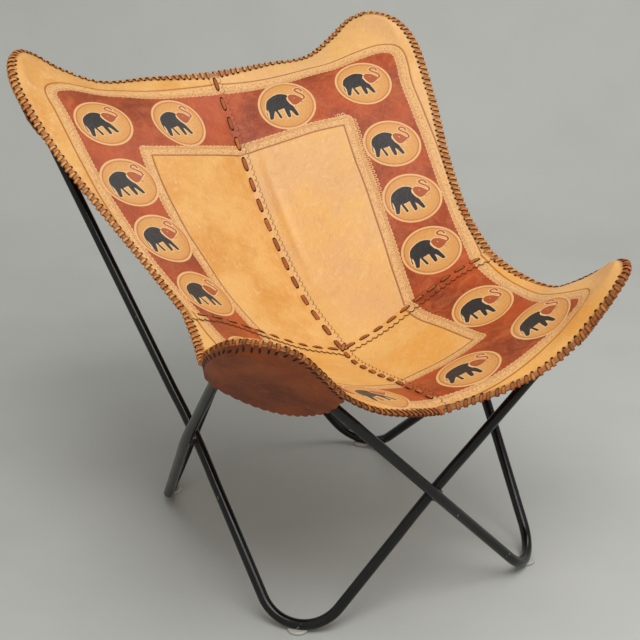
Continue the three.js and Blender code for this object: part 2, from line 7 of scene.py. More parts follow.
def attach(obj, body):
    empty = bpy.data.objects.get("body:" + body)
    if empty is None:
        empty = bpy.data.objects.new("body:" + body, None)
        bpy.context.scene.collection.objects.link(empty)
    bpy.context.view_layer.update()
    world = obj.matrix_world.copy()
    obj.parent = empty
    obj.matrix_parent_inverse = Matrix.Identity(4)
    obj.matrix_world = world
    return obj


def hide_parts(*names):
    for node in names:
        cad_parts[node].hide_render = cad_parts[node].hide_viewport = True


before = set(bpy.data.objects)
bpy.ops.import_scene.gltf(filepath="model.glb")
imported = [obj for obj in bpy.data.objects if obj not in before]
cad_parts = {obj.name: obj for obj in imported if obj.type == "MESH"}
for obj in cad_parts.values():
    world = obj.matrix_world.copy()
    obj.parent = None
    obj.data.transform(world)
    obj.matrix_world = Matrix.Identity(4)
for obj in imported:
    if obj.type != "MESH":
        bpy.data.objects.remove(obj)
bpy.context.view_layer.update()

# The stage: a plain grey floor that sweeps up into a backdrop square to the camera, an even sky and
# two large soft lamps. The camera stands in front of the chair, to its left and above the seat.
CAMERA_PLACE = (-1.283, -2.3344, 1.458)
CAMERA_YAW = np.radians(28.9)
CAMERA_PITCH = np.radians(22.0)
FOCAL_LENGTH_PIXELS = 1603
IMAGE_PIXELS = 640
SENSOR_WIDTH = 36
FAR_CLIP = 50


def linear(hex_colour):
    """An sRGB hex colour as the linear colour that a socket takes."""
    shares = [int(hex_colour[i:i + 2], 16) / 255 for i in (1, 3, 5)]
    return (*(c / 12.92 if c <= 0.04045 else ((c + 0.055) / 1.055) ** 2.4 for c in shares), 1.0)


def fill(node, inputs):
    """Gives a node's inputs, by name or in order, a value, a hex colour or a link to a socket."""
    in_use = [socket for socket in node.inputs if socket.enabled]
    pairs = inputs.items() if isinstance(inputs, dict) else enumerate(inputs)
    for key, value in pairs:
        socket = in_use[key] if isinstance(key, int) else next(s for s in in_use if s.name == key)
        if isinstance(value, bpy.types.NodeSocket):
            node.id_data.links.new(value, socket)
        else:
            socket.default_value = linear(value) if str(value).startswith("#") else value


def add(tree, kind, inputs=(), output=None, **settings):
    """Adds a node with its settings and links, and gives its named output or the first one in use."""
    made = tree.nodes.new(kind if "Node" in kind else "ShaderNode" + kind)
    for name, value in settings.items():
        setattr(made, name, value)
    fill(made, inputs)
    return made.outputs[output] if output else next(socket for socket in made.outputs if socket.enabled)


def new_material(name):
    """A material, its node tree, its shader and the places on a piece that its patterns follow."""
    material = bpy.data.materials.new(name)
    material.use_nodes = True
    tree = material.node_tree
    return material, tree, tree.nodes["Principled BSDF"], add(tree, "TexCoord", output="Object")


def layered(tree, colour, *layers):
    """Lays colours over one another: each has a value, its start and end, a strength and a colour."""
    for value, start, end, strength, top in layers:
        mask = add(tree, "MapRange", {"Value": value, "From Min": start, "From Max": end, "To Max": strength})
        colour = add(tree, "Mix", {"Factor": mask, "A": colour, "B": top}, data_type="RGBA")
    return colour


def put(name, data, place=(0, 0, 0), look=None):
    """Puts an object into the scene. A camera or a lamp looks along a direction."""
    made = bpy.data.objects.new(name, data)
    made.location = place
    if look is not None:
        made.rotation_euler = Vector(look).to_track_quat("-Z", "Y").to_euler()
    bpy.context.scene.collection.objects.link(made)
    return made


def mesh_object(name, points, faces, *materials):
    """A smooth-shaded mesh object at the origin, from points in metres."""
    mesh = bpy.data.meshes.new(name)
    mesh.from_pydata([tuple(map(float, p)) for p in points], [], [tuple(map(int, f)) for f in faces])
    for material in materials:
        mesh.materials.append(material)
    mesh.polygons.foreach_set("use_smooth", [True] * len(mesh.polygons))
    return put(name, mesh)


heading = np.array((np.sin(CAMERA_YAW), np.cos(CAMERA_YAW), 0))
sideways = np.array((np.cos(CAMERA_YAW), -np.sin(CAMERA_YAW), 0))
upwards = np.array((0, 0, 1.0))
camera_data = bpy.data.cameras.new("photo_camera")
camera_data.sensor_width = SENSOR_WIDTH
camera_data.lens = SENSOR_WIDTH * FOCAL_LENGTH_PIXELS / IMAGE_PIXELS
camera_data.clip_end = FAR_CLIP
forward = heading * np.cos(CAMERA_PITCH) - upwards * np.sin(CAMERA_PITCH)
bpy.context.scene.camera = put("photo_camera", camera_data, CAMERA_PLACE, forward)
bpy.context.scene.view_settings.view_transform = "Standard"

COVE_START = 1.45
COVE_RADIUS = 0.9
COVE_STEPS = 16
STAGE_REACH = 9.0
FLOOR_GREY = "#c6c7c2"
FLOOR_GREY_WORN = "#b9bab5"
FLOOR_PATCH = 0.25
turns = np.linspace(0, np.pi / 2, COVE_STEPS)
profile = [(-STAGE_REACH, 0.0)]
profile += [(COVE_START + COVE_RADIUS * np.sin(t), COVE_RADIUS * (1 - np.cos(t))) for t in turns]
profile.append((COVE_START + COVE_RADIUS, STAGE_REACH))
stage_points = [heading * run + sideways * side + upwards * rise
                for run, rise in profile for side in (-STAGE_REACH, STAGE_REACH)]
stage_faces = [(2 * i, 2 * i + 1, 2 * i + 3, 2 * i + 2) for i in range(len(profile) - 1)]
floor_paint, tree, shader, places = new_material("Grey floor paint, rolled")
worn = add(tree, "TexNoise", {"Vector": places, "Scale": 1 / FLOOR_PATCH, "Detail": 6})
fill(shader, {"Base Color": layered(tree, FLOOR_GREY_WORN, (worn, 0, 1, 1, FLOOR_GREY)),
              "Roughness": 0.6, "Specular IOR Level": 0.2})
stage = mesh_object("studio_cove", stage_points, stage_faces, floor_paint)

SKY_GREY = "#dcdcda"
SKY_STRENGTH = 0.66
LAMPS = {"key_lamp": ((-0.4, -1.9, 3.4), 2.2, 75), "side_lamp": ((1.45, 0.05, 2.75), 1.3, 16)}
LAMP_TARGET = Vector((0, 0, 0.5))
sky = bpy.data.worlds.new("studio_sky")
sky.use_nodes = True
fill(sky.node_tree.nodes["Background"], {"Color": SKY_GREY, "Strength": SKY_STRENGTH})
bpy.context.scene.world = sky
for name, (place, size, watts) in LAMPS.items():
    lamp_data = bpy.data.lights.new(name, "AREA")
    lamp_data.size = size
    lamp_data.energy = watts
    put(name, lamp_data, place, LAMP_TARGET - Vector(place))

# The frame: two closed loops of bent steel tube, each with two tips and two feet. They cross between
# every two corners, where a weld joins them. The tube is painted gloss black after welding.
MM = 0.001
CAD_MIDDLE = np.array((0, 8.36, 0))
TUBE_RADIUS = 9.0
WELD_GAP = 0.3
BEND_RADIUS = {"tip": 44.5, "foot": 76.0}
BEND_MIDDLE = {
    "back_tip": np.array((372.0, 446, 802)),
    "front_tip": np.array((337.0, -405, 548)),
    "back_foot": np.array((211.0, 202, 12)),
    "front_foot": np.array((228.0, -340, 12)),
}
SIDES = ("right", "left")
FLIP = {"right": np.ones(3), "left": np.array((-1.0, 1, 1))}
CROSSINGS = {
    "front": (("front_tip_left", "front_foot_right"), ("front_tip_right", "front_foot_left")),
    "back": (("back_tip_right", "back_foot_left"), ("back_tip_left", "back_foot_right")),
    "left": (("front_tip_left", "back_foot_left"), ("back_tip_left", "front_foot_left")),
    "right": (("front_tip_right", "back_foot_right"), ("back_tip_right", "front_foot_right")),
}
OUTER_SIDE = {"front": (0, -1, 0), "back": (0, -1, 0), "left": (-1, 0, 0), "right": (1, 0, 0)}
LOOPS = {
    "tube_loop_a": ("front_tip_left", "back_foot_left", "back_tip_right", "front_foot_right"),
    "tube_loop_b": ("front_tip_right", "back_foot_right", "back_tip_left", "front_foot_left"),
}
SETTLING_PASSES = 12
BEND_STEPS = 22
LEG_STEP = 22.0
EASED_LENGTH = 90.0
EASED_STEPS = 12
TUBE_SIDES = 32


def unit(vectors):
    """Vectors at length one."""
    vectors = np.asarray(vectors, float)
    return vectors / np.maximum(np.linalg.norm(vectors, axis=-1, keepdims=True), 1e-9)


def square_to(ways, vectors):
    """The part of vectors that lies square to ways, at length one."""
    return unit(vectors - ways * np.sum(vectors * ways, axis=-1, keepdims=True))


def placed(points):
    """Points of the part's own millimetre drawing, in metres in the CAD frame."""
    return (np.asarray(points).reshape(-1, 3) - CAD_MIDDLE) * MM


def bend_shape(name):
    """Directions of a corner's two legs, half the angle between them, its middle line and its radius."""
    arms = [unit(leg_middle[leg] - corner[name]) for leg in legs if name in leg]
    half_angle = np.arccos(np.dot(*arms)) / 2
    return arms, half_angle, unit(arms[0] + arms[1]), BEND_RADIUS[name.split("_")[1]]


def leg_between(first, second):
    """A leg's two ends, in the order in which the crossings name them."""
    return (first, second) if (first, second) in leg_middle else (second, first)


def bend_line(name, coming_from):
    """Centre line of a bend, from the leg that comes from one corner to the leg that leaves."""
    arms, half_angle, inward, radius = bend_shape(name)
    incoming = unit(leg_middle[leg_between(name, coming_from)] - corner[name])
    outgoing = arms[0] if np.dot(arms[1], incoming) > np.dot(arms[0], incoming) else arms[1]
    centre = corner[name] + inward * radius / np.sin(half_angle)
    run = radius / np.tan(half_angle)
    start, end = corner[name] + incoming * run - centre, corner[name] + outgoing * run - centre
    sweep = np.arccos(np.dot(start, end) / radius ** 2)
    shares = np.linspace(0, 1, BEND_STEPS)[:, None]
    return centre + (start * np.sin((1 - shares) * sweep) + end * np.sin(shares * sweep)) / np.sin(sweep)


def leg_line(start, middle, end):
    """A leg bows gently past the leg it crosses: two straights with an eased middle."""
    before = middle + unit(start - middle) * EASED_LENGTH
    after = middle + unit(end - middle) * EASED_LENGTH
    shares = np.linspace(0, 1, EASED_STEPS)[:, None]
    eased = before * (1 - shares) ** 2 + middle * 2 * shares * (1 - shares) + after * shares ** 2
    eased = eased + (middle - eased[len(eased) // 2]) * np.sin(np.pi * shares)
    first = np.linspace(start, before, int(np.linalg.norm(before - start) / LEG_STEP) + 2)[1:-1]
    last = np.linspace(after, end, int(np.linalg.norm(end - after) / LEG_STEP) + 2)[1:-1]
    return np.vstack((first, eased, last))


def tube(path, radius, sides):
    """Points and faces of a round tube along a closed path."""
    ways = unit(np.roll(path, -1, axis=0) - np.roll(path, 1, axis=0))
    across = [unit(np.cross(ways[0], (0, 0, 1)))]
    for way in ways[1:]:
        across.append(square_to(way, across[-1]))
    returned = square_to(ways[0], across[-1])
    twist = np.arctan2(np.dot(np.cross(across[0], returned), ways[0]), np.dot(across[0], returned))
    count = len(path)
    ring = np.arange(sides)
    points, faces = [], []
    for i in range(count):
        turn = np.linspace(0, 2 * np.pi, sides, endpoint=False)[:, None] - twist * i / count
        round_path = np.cos(turn) * across[i] + np.sin(turn) * np.cross(ways[i], across[i])
        points.append(path[i] + radius * round_path)
        here, there = i * sides, ((i + 1) % count) * sides
        faces += [(here + a, here + b, there + b, there + a) for a, b in zip(ring, np.roll(ring, -1))]
    return np.vstack(points), faces


bend_middle = {kind + "_" + side: point * FLIP[side] for kind, point in BEND_MIDDLE.items() for side in SIDES}
legs = [leg for pair in CROSSINGS.values() for leg in pair]
corner = dict(bend_middle)
leg_middle = {}
for settling_pass in range(SETTLING_PASSES):
    for side, (outer, inner) in CROSSINGS.items():
        outer_start, inner_start = corner[outer[0]], corner[inner[0]]
        outer_way = unit(corner[outer[1]] - outer_start)
        inner_way = unit(corner[inner[1]] - inner_start)
        apart = unit(np.cross(outer_way, inner_way))
        apart = apart * np.sign(np.dot(apart, OUTER_SIDE[side]))
        slant = np.dot(outer_way, inner_way)
        between = inner_start - outer_start
        outer_run = (np.dot(between, outer_way) - slant * np.dot(between, inner_way)) / (1 - slant ** 2)
        inner_run = (slant * np.dot(between, outer_way) - np.dot(between, inner_way)) / (1 - slant ** 2)
        contact = (outer_start + outer_way * outer_run + inner_start + inner_way * inner_run) / 2
        leg_middle[outer] = contact + apart * (TUBE_RADIUS + WELD_GAP / 2)
        leg_middle[inner] = contact - apart * (TUBE_RADIUS + WELD_GAP / 2)
    for name, middle in bend_middle.items():
        arms, half_angle, inward, radius = bend_shape(name)
        corner[name] = middle + inward * (radius - radius / np.sin(half_angle))

# Gloss paint over steel: nearly black, with long clear highlights, dust that dulls it in patches, and
# a few small chips where bare steel and primer show.
PAINT_BLACK = "#0c0b0a"
PAINT_DUSTY = "#1b1a18"
PAINT_CHIP = "#8f877b"
DUST_PATCH = 0.06
CHIP_PATCH = 0.02
CHIP_SIZE = 0.005
ORANGE_PEEL = 0.004
black_paint, tree, shader, places = new_material("Gloss black paint on steel tube")
dust = add(tree, "TexNoise", {"Vector": places, "Scale": 1 / DUST_PATCH, "Detail": 8, "Roughness": 0.7})
dulled = add(tree, "MapRange", {
    "Value": dust, "From Min": 0.3, "From Max": 0.8, "To Min": 0.13, "To Max": 0.34})
specks = add(tree, "TexVoronoi", {"Vector": places, "Scale": 1 / CHIP_SIZE})
chip_speck = add(tree, "MapRange", {"Value": specks, "From Min": 0.3, "From Max": 0.22})
chip_place = add(tree, "TexNoise", {"Vector": places, "Scale": 1 / CHIP_PATCH, "Detail": 3})
chip_spread = add(tree, "MapRange", {"Value": chip_place, "From Min": 0.66, "From Max": 0.72})
chips = add(tree, "Math", (chip_spread, chip_speck), operation="MULTIPLY")
orange_peel = add(tree, "TexNoise", {"Vector": places, "Scale": 1 / ORANGE_PEEL, "Detail": 2})
paint_height = add(tree, "Math", (orange_peel, chips), operation="SUBTRACT")
paint = layered(tree, PAINT_BLACK, (dust, 0.45, 0.75, 1, PAINT_DUSTY), (chips, 0, 1, 1, PAINT_CHIP))
fill(shader, {"Base Color": paint, "Roughness": dulled, "Specular IOR Level": 0.36,
              "Normal": add(tree, "Bump", {"Height": paint_height, "Strength": 0.08, "Distance": 0.001})})
for loop_name, corners in LOOPS.items():
    bends = [bend_line(name, corners[i - 1]) for i, name in enumerate(corners)]
    path, replaced = [], []
    for i, name in enumerate(corners):
        following = (i + 1) % len(corners)
        leg = leg_between(name, corners[following])
        path += [bends[i], leg_line(bends[i][-1], leg_middle[leg], bends[following][0])]
        replaced += ["bend_" + name, "leg_{}_to_{}".format(*leg)]
    points, faces = tube(np.vstack(path), TUBE_RADIUS, TUBE_SIDES)
    loop = mesh_object(loop_name, placed(points), faces, black_paint)
    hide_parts(*replaced)
    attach(loop, "root")

# The welds: a short run of filler at each crossing, painted over with the tube. The bead is rippled
# and rubbed bright in places.
RIPPLE = 0.003
RUBBED_PATCH = 0.006
weld_paint, tree, shader, places = new_material("Painted weld bead, rubbed")
ripples = add(tree, "TexVoronoi", {"Vector": places, "Scale": 1 / RIPPLE})
rubbing = add(tree, "TexNoise", {"Vector": places, "Scale": 1 / RUBBED_PATCH, "Detail": 5})
rubbed = layered(tree, PAINT_BLACK, (rubbing, 0.58, 0.66, 1, PAINT_CHIP))
fill(shader, {"Base Color": rubbed, "Roughness": 0.4,
              "Normal": add(tree, "Bump", {"Height": ripples, "Strength": 0.6, "Distance": 0.001})})
for side in CROSSINGS:
    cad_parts["weld_" + side].material_slots[0].material = weld_paint

# The glides: moulded nylon discs pressed on under the four feet, so that the tube doesn't mark the
# floor. They are off-white, a little see-through at the edge, and scuffed underneath.
NYLON_WHITE = "#bdbab0"
NYLON_SCUFFED = "#8f8b80"
SCUFF_SIZE = 0.004
SCUFFED_HEIGHT = 0.004
nylon, tree, shader, places = new_material("Moulded nylon, off-white")
scuffs = add(tree, "TexNoise", {"Vector": places, "Scale": 1 / SCUFF_SIZE, "Detail": 6})
height = add(tree, "SeparateXYZ", (places,), output="Z")
under = add(tree, "MapRange", {"Value": height, "From Min": SCUFFED_HEIGHT, "From Max": 0.0})
scuffed = add(tree, "Math", (scuffs, under), operation="MULTIPLY")
fill(shader, {"Base Color": layered(tree, NYLON_WHITE, (scuffed, 0, 1, 1, NYLON_SCUFFED)), "Roughness": 0.42,
              "IOR": 1.53, "Subsurface Weight": 0.2, "Subsurface Radius": (0.004, 0.004, 0.003)})
for foot in ("back_foot_left", "back_foot_right", "front_foot_left", "front_foot_right"):
    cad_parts["glide_" + foot].material_slots[0].material = nylon

# The sling: four panels of thick vegetable-tanned leather, two for the back and two for the seat, cut
# to this outline and laced together. Each hangs between its rim, its seams and the tips of the frame.
LEATHER_THICKNESS = 3.0
POCKET_SLACK = 2.5
LIFT_BLEND = 4.0
POCKET_REACH = 200.0
POCKET_FADE = 0.45
BACK_SAG = 50.0
BACK_FULLNESS = 46.0
BACK_BULGE_POWER = 0.8
SEAT_FULLNESS = 20.0
CURVE_STEPS = 60
back_tip, front_tip = BEND_MIDDLE["back_tip"], BEND_MIDDLE["front_tip"]


def between(first, second, *steps):
    """Points between two points: each step is a share of the way and a move in x, y and z."""
    return [first + (second - first) * share + move for share, *move in steps]


def run_along(line):
    """Length of a line up to each of its points."""
    return np.concatenate(([0], np.cumsum(np.linalg.norm(np.diff(line, axis=0), axis=1))))


def read_along(places_along, run, values):
    """Values that are known at places along a run, read at other places."""
    return np.stack([np.interp(places_along, run, column) for column in np.asarray(values).T], axis=-1)


def curve_through(points):
    """A smooth line through points, with the share of its length at each place and its whole length."""
    knots = np.array(points, float)
    knots = np.vstack((2 * knots[0] - knots[1], knots, 2 * knots[-1] - knots[-2]))
    t = np.linspace(0, 1, CURVE_STEPS, endpoint=False)[:, None]
    parts = []
    for a, b, c, d in zip(knots, knots[1:], knots[2:], knots[3:]):
        ab, bc, cd = (np.linalg.norm(q - p) ** 0.5 for p, q in ((a, b), (b, c), (c, d)))
        start = ((b - a) / ab - (c - a) / (ab + bc) + (c - b) / bc) * bc
        end = ((c - b) / bc - (d - b) / (bc + cd) + (d - c) / cd) * bc
        squared, cubed = 3 * (c - b) - 2 * start - end, 2 * (b - c) + start + end
        parts.append(b + start * t + squared * t ** 2 + cubed * t ** 3)
    line = np.vstack((*parts, knots[-2][None]))
    run = run_along(line)
    return line, run / run[-1], run[-1]


def along(curve, shares):
    """Points of a curve at shares of its length."""
    line, run, length = curve
    return read_along(shares, run, line)


top_middle = np.array((0.0, 434, 742))
cross_middle = np.array((0.0, -78, 353))
front_middle = np.array((0.0, -403, 368))
waist = np.array((304.0, -92, 488))
top_neck, side_neck, back_corner = back_tip + [(-152, 10, -57), (20, -198, -114), (8, 10, 17)]
seat_neck, front_neck, front_corner = front_tip + [(23, 120, -60), (-129, -61, -86), (10, -9, 17)]
back_face = unit(np.cross((1.0, 0, 0), cross_middle - top_middle))
back_face = back_face * np.sign(back_face[2])
back_sag = -BACK_SAG * back_face
TOP_EDGE = curve_through([
    top_middle, *between(top_middle, top_neck, (0.55, 0, 0, 0)), top_neck,
    *(back_tip + [(-87, 32, -31), (-40, 42, -1), (-10, 28, 14)]), back_corner])
BACK_SIDE_EDGE = curve_through([
    back_corner, *(back_tip + [(32, -28, 9), (44, -80, -21)]), side_neck,
    *between(waist, side_neck, (0.6, -4, 22, -2), (0.27, -10, 8, -12)), waist])
BACK_MIDDLE = curve_through([
    top_middle,
    *between(top_middle, cross_middle, (0.25, *0.5 * back_sag), (0.5, *back_sag), (0.78, *0.9 * back_sag)),
    cross_middle])
CROSS_SEAM = curve_through([
    cross_middle, *between(cross_middle, waist, (0.26, 0, 6, -10), (0.53, 0, 9, -4), (0.77, 0, 7, 3)), waist])
SEAT_MIDDLE = curve_through([
    cross_middle,
    *between(cross_middle, front_middle, (0.12, 0, 0, -9), (0.36, 0, 0, -6), (0.66, 0, 0, 4),
             (0.9, 0, 0, 10)),
    front_middle])
SEAT_SIDE_EDGE = curve_through([
    waist, *between(waist, seat_neck, (0.38, -6, 0, -22), (0.74, -4, 0, -27)), seat_neck,
    *(front_tip + [(38, 75, -28), (31, 30, 1)]), front_corner])
FRONT_EDGE = curve_through([
    front_middle, *between(front_middle, front_neck, (0.43, 0, -16, -6), (0.72, 0, -12, -10)), front_neck,
    *(front_tip + [(-83, -66, -35), (-48, -63, 2), (-15, -42, 17)]), front_corner])
PANEL_EDGES = {"back": (TOP_EDGE, CROSS_SEAM, BACK_MIDDLE, BACK_SIDE_EDGE),
               "seat": (CROSS_SEAM, FRONT_EDGE, SEAT_MIDDLE, SEAT_SIDE_EDGE)}
rim_line = np.vstack([edge[0] for edge in (TOP_EDGE, BACK_SIDE_EDGE, SEAT_SIDE_EDGE, FRONT_EDGE)])


def nearest_distances(line, points):
    """For each point, its distance from the nearest point of a line and that point's number."""
    finder = KDTree(len(line))
    for i, p in enumerate(line):
        finder.insert(p, i)
    finder.balance()
    found = [finder.find(p) for p in np.asarray(points).reshape(-1, 3)]
    shape = np.asarray(points).shape[:-1]
    return np.array([f[2] for f in found]).reshape(shape), np.array([f[1] for f in found]).reshape(shape)


def tip_plane(kind, side):
    """The plane of a tip's bend, mirrored to the right side: centre, radius, half angle, outward, down."""
    name = "{}_tip_{}".format("back" if kind == "back" else "front", side)
    arms, half_angle, down, radius = bend_shape(name)
    outward = unit(np.cross(*arms))
    outward = outward * -np.sign(outward[2])
    centre = corner[name] + down * radius / np.sin(half_angle)
    return centre * FLIP[side], radius, half_angle, outward * FLIP[side], down * FLIP[side]


def height_over_tube(plane, points, height, from_rim):
    """Height of leather over the tip's plane once it is stretched over the tube and laced at its rim."""
    centre, radius, half_angle, outward, down = plane
    local = points - centre
    along_down = local @ down
    across = np.abs(local @ np.cross(outward, down))
    beyond_bend = across * np.sin(half_angle) < -along_down * np.cos(half_angle)
    straight = across * np.cos(half_angle) - along_down * np.sin(half_angle)
    outside = np.where(beyond_bend, np.hypot(along_down, across), straight) - radius
    to_tube = np.maximum(outside - TUBE_RADIUS / 2, 0)
    ramp = from_rim / np.maximum(from_rim + to_tube, 1e-6)
    lift = TUBE_RADIUS + WELD_GAP + LEATHER_THICKNESS / 2 + POCKET_SLACK
    lifted = np.hypot(height - lift, LIFT_BLEND) / 2 + (height + lift) / 2
    beyond = np.clip((np.linalg.norm(local, axis=-1) / POCKET_REACH - 1) / POCKET_FADE, 0, 1)
    fade = 1 - beyond ** 2 * (3 - 2 * beyond)
    edge_lift = (LEATHER_THICKNESS + WELD_GAP) / 2
    return height + fade * (edge_lift * (1 - ramp) + (lifted - height) * ramp)


def hung(edges, u, v):
    """Surface that fills four edges; u runs from the middle of the chair to its rim, v down or forwards."""
    first, last, near, far = edges
    across, down = u[..., None], v[..., None]
    corners = [along(edge, end) for edge in (first, last) for end in (0.0, 1.0)]
    flat = corners[0] * (1 - across) * (1 - down) + corners[1] * across * (1 - down)
    flat = flat + corners[2] * (1 - across) * down + corners[3] * across * down
    ruled_down = along(first, u) * (1 - down) + along(last, u) * down
    ruled_across = along(near, v) * (1 - across) + along(far, v) * across
    return ruled_down + ruled_across - flat


def panel_surface(kind, side, u, v):
    """Middle of a panel's leather, in the part's millimetres."""
    points = hung(PANEL_EDGES[kind], u, v)
    if kind == "back":
        fullness = BACK_FULLNESS * np.sin(np.pi * u) * np.sin(np.pi * v ** BACK_BULGE_POWER)
        points = points + fullness[..., None] * back_face
    else:
        points[..., 2] += SEAT_FULLNESS * np.sin(np.pi * u) * np.sin(np.pi * v)
    plane = tip_plane(kind, side)
    height = -((points - plane[0]) @ plane[3])
    from_rim, _ = nearest_distances(rim_line, points)
    lifted = height_over_tube(plane, points, height, from_rim)
    return (points + (height - lifted)[..., None] * plane[3]) * FLIP[side]


def grid_facing(grid):
    """Which way each place of a grid of points faces, at the length of its area."""
    return np.cross(np.gradient(grid, axis=0), np.gradient(grid, axis=1))


PANEL_STEPS = {"back": (170, 250), "seat": (170, 150)}
SITTING_SIDE = {"back": back_face, "seat": np.array((0, 0, 1.0))}
STEADY_SHARE = 0.03
panel_shares = {kind: np.meshgrid(*(np.linspace(0, 1, steps) for steps in PANEL_STEPS[kind]))
                for kind in PANEL_STEPS}
panels = [(kind, side) for kind in PANEL_STEPS for side in SIDES]
panel_grid, panel_normal = {}, {}
for kind, side in panels:
    grid = panel_surface(kind, side, *panel_shares[kind])
    facing = grid_facing(grid)
    facing = facing * np.sign(np.mean(facing @ SITTING_SIDE[kind]))
    # A small steady share keeps the facing sound at the tips, where two edges run on in one line.
    steady = -tip_plane(kind, side)[3] * FLIP[side]
    facing = facing / np.mean(np.linalg.norm(facing, axis=-1)) + STEADY_SHARE * steady
    panel_grid[kind, side] = grid
    panel_normal[kind, side] = unit(facing)

# The tooling: a band dyed red-brown between two stippled border strips, with a cut line beside each
# strip, and round medallions stamped along the band, each with a walking elephant. Borders and centres
# are given in shares across and down a panel, because the hand work differs a little between panels.
OUTER_BORDER = {
    ("back", "right"): [[
        (0, 0.06), (0.165, 0.085), (0.32, 0.1), (0.492, 0.098), (0.67, 0.13), (0.83, 0.177), (0.88, 0.21),
        (0.87, 0.323), (0.885, 0.438), (0.912, 0.565), (0.922, 0.69), (0.93, 0.802), (0.92, 0.905),
        (0.9, 1)]],
    ("back", "left"): [[
        (0, 0.06), (0.152, 0.077), (0.333, 0.095), (0.478, 0.088), (0.625, 0.098), (0.73, 0.125),
        (0.793, 0.167), (0.802, 0.24), (0.823, 0.33), (0.858, 0.453), (0.897, 0.562), (0.922, 0.66),
        (0.945, 0.768), (0.94, 0.87), (0.91, 1)]],
    ("seat", "right"): [[
        (0.9, 0), (0.86, 0.195), (0.823, 0.355), (0.745, 0.54), (0.733, 0.67), (0.735, 0.765), (0.69, 0.815),
        (0.6, 0.828), (0.49, 0.838), (0.37, 0.868), (0.23, 0.907), (0.095, 0.927), (0, 0.92)]],
}
OUTER_BORDER["seat", "left"] = OUTER_BORDER["seat", "right"]
INNER_BORDER = {
    ("back", "right"): [
        [(0, 0.262), (0.18, 0.28), (0.318, 0.292), (0.495, 0.315)],
        [(0.495, 0.315), (0.497, 0.458), (0.512, 0.57), (0.517, 0.68), (0.517, 0.787), (0.497, 0.897),
         (0.468, 1)]],
    ("back", "left"): [
        [(0, 0.262), (0.177, 0.285), (0.355, 0.31), (0.5, 0.322)],
        [(0.5, 0.322), (0.54, 0.45), (0.568, 0.552), (0.585, 0.652), (0.58, 0.745), (0.58, 0.858),
         (0.557, 0.945), (0.53, 1)]],
    ("seat", "right"): [
        [(0.458, 0), (0.455, 0.1), (0.463, 0.203), (0.458, 0.352), (0.436, 0.492)],
        [(0.436, 0.492), (0.27, 0.53), (0.147, 0.562), (0.035, 0.59), (0, 0.6)]],
    ("seat", "left"): [
        [(0.52, 0), (0.49, 0.2), (0.47, 0.4), (0.45, 0.63)],
        [(0.45, 0.63), (0.335, 0.667), (0.16, 0.667), (0, 0.62)]],
}
MEDALLIONS = {
    ("back", "right"): [(0.26, 0.19), (0.647, 0.23), (0.693, 0.485), (0.72, 0.693), (0.718, 0.888)],
    ("back", "left"): [(0.255, 0.195), (0.623, 0.242), (0.7, 0.482), (0.748, 0.695), (0.733, 0.897)],
    ("seat", "right"): [(0.65, 0.283), (0.593, 0.672), (0.22, 0.73)],
    ("seat", "left"): [(0.65, 0.283), (0.593, 0.672), (0.265, 0.805)],
}
BORDERS = {"outer": OUTER_BORDER, "inner": INNER_BORDER}
STRIP_HALF = {"outer": 8.0, "inner": 9.0}
CUT_PLACE = {"outer": 14.0, "inner": -11.5}
BORDER_STEPS = 500
MEDALLION_RADIUS = 56.0
FIGURE_TURN = {"back": np.radians(10), "seat": np.radians(22)}
BODY_OUTLINE = np.array([
    (-5.5, 28), (-13, 28.5), (-22.5, 25.5), (-31, 20.5), (-36.5, 15), (-39.5, 8), (-40, 2), (-37.5, -4.5),
    (-37, -13), (-38.5, -28), (-32, -28.5), (-28.5, -18), (-24.5, -7), (-23, -14), (-18.5, -29.5),
    (-14, -27.5), (-16.5, -19), (-20, -9.5), (-13.5, -8.5), (-7, -6), (-6, -16), (-3, -30), (2.5, -28.5),
    (3, -21.5), (2, -11.5), (6, -15.5), (12.5, -28.5), (18.5, -28), (16, -18.5), (11.5, -5), (6, 2), (2, 12),
    (2.5, 16.5), (6, 21), (2.5, 25)])
HEAD_OUTLINE = np.array([
    (6, 21), (11.5, 24), (18, 22.5), (23, 20), (28, 15), (34.5, 8), (29.5, 4), (25.5, 1), (20, -2.5),
    (14.5, -3), (10.5, 0.5), (6, 9), (4.5, 14)])
TRUNK_LINE = np.array([
    (34, 9), (37, 12), (36, 17.5), (32, 22), (27, 26), (23, 29.5), (21.5, 33.5), (24.5, 36), (29, 36.5),
    (33, 33.5), (34.5, 28)])
TAIL_LINE = np.array([(-39.5, 4.5), (-40.5, -3.5), (-41.5, -11), (-41, -16.5)])
EAR_LINE = np.array([(4, 18), (4.5, 12.5), (6, 6.5), (9.5, 0.5)])
EYE_LINE = np.array([(16.5, 13.5), (17.5, 13.5)])
TUSK_LINES = (np.array([(27, 4), (34.5, 1)]), np.array([(24, 1), (28.5, -3)]))
TRUNK_HALF = 1.9
TAIL_HALF = 1.1
EAR_HALF = 1.2
EYE_HALF = 1.2
TUSK_HALF = 0.5
MARKS_REACH = 20.0
FAR_AWAY = 40.0
MARKS = ("medallion", "body", "head", "trunk", "light_mark", "tusk")


def distance_to_line(points, line, closed=False):
    """Distance of flat points from a line of straight pieces, and whether they lie inside it if closed."""
    ends = np.roll(line, -1, axis=0) if closed else line[1:]
    starts = line if closed else line[:-1]
    nearest = np.full(len(points), np.inf)
    inside = np.zeros(len(points), bool)
    for a, b in zip(starts.astype(float), ends.astype(float)):
        share = np.clip(((points - a) @ (b - a)) / np.dot(b - a, b - a), 0, 1)
        nearest = np.minimum(nearest, np.linalg.norm(points - a - share[:, None] * (b - a), axis=1))
        spans = (a[1] > points[:, 1]) != (b[1] > points[:, 1])
        rise = np.where(b[1] == a[1], 1, b[1] - a[1])
        inside ^= spans & (points[:, 0] < a[0] + (points[:, 1] - a[1]) * (b[0] - a[0]) / rise)
    return nearest, inside


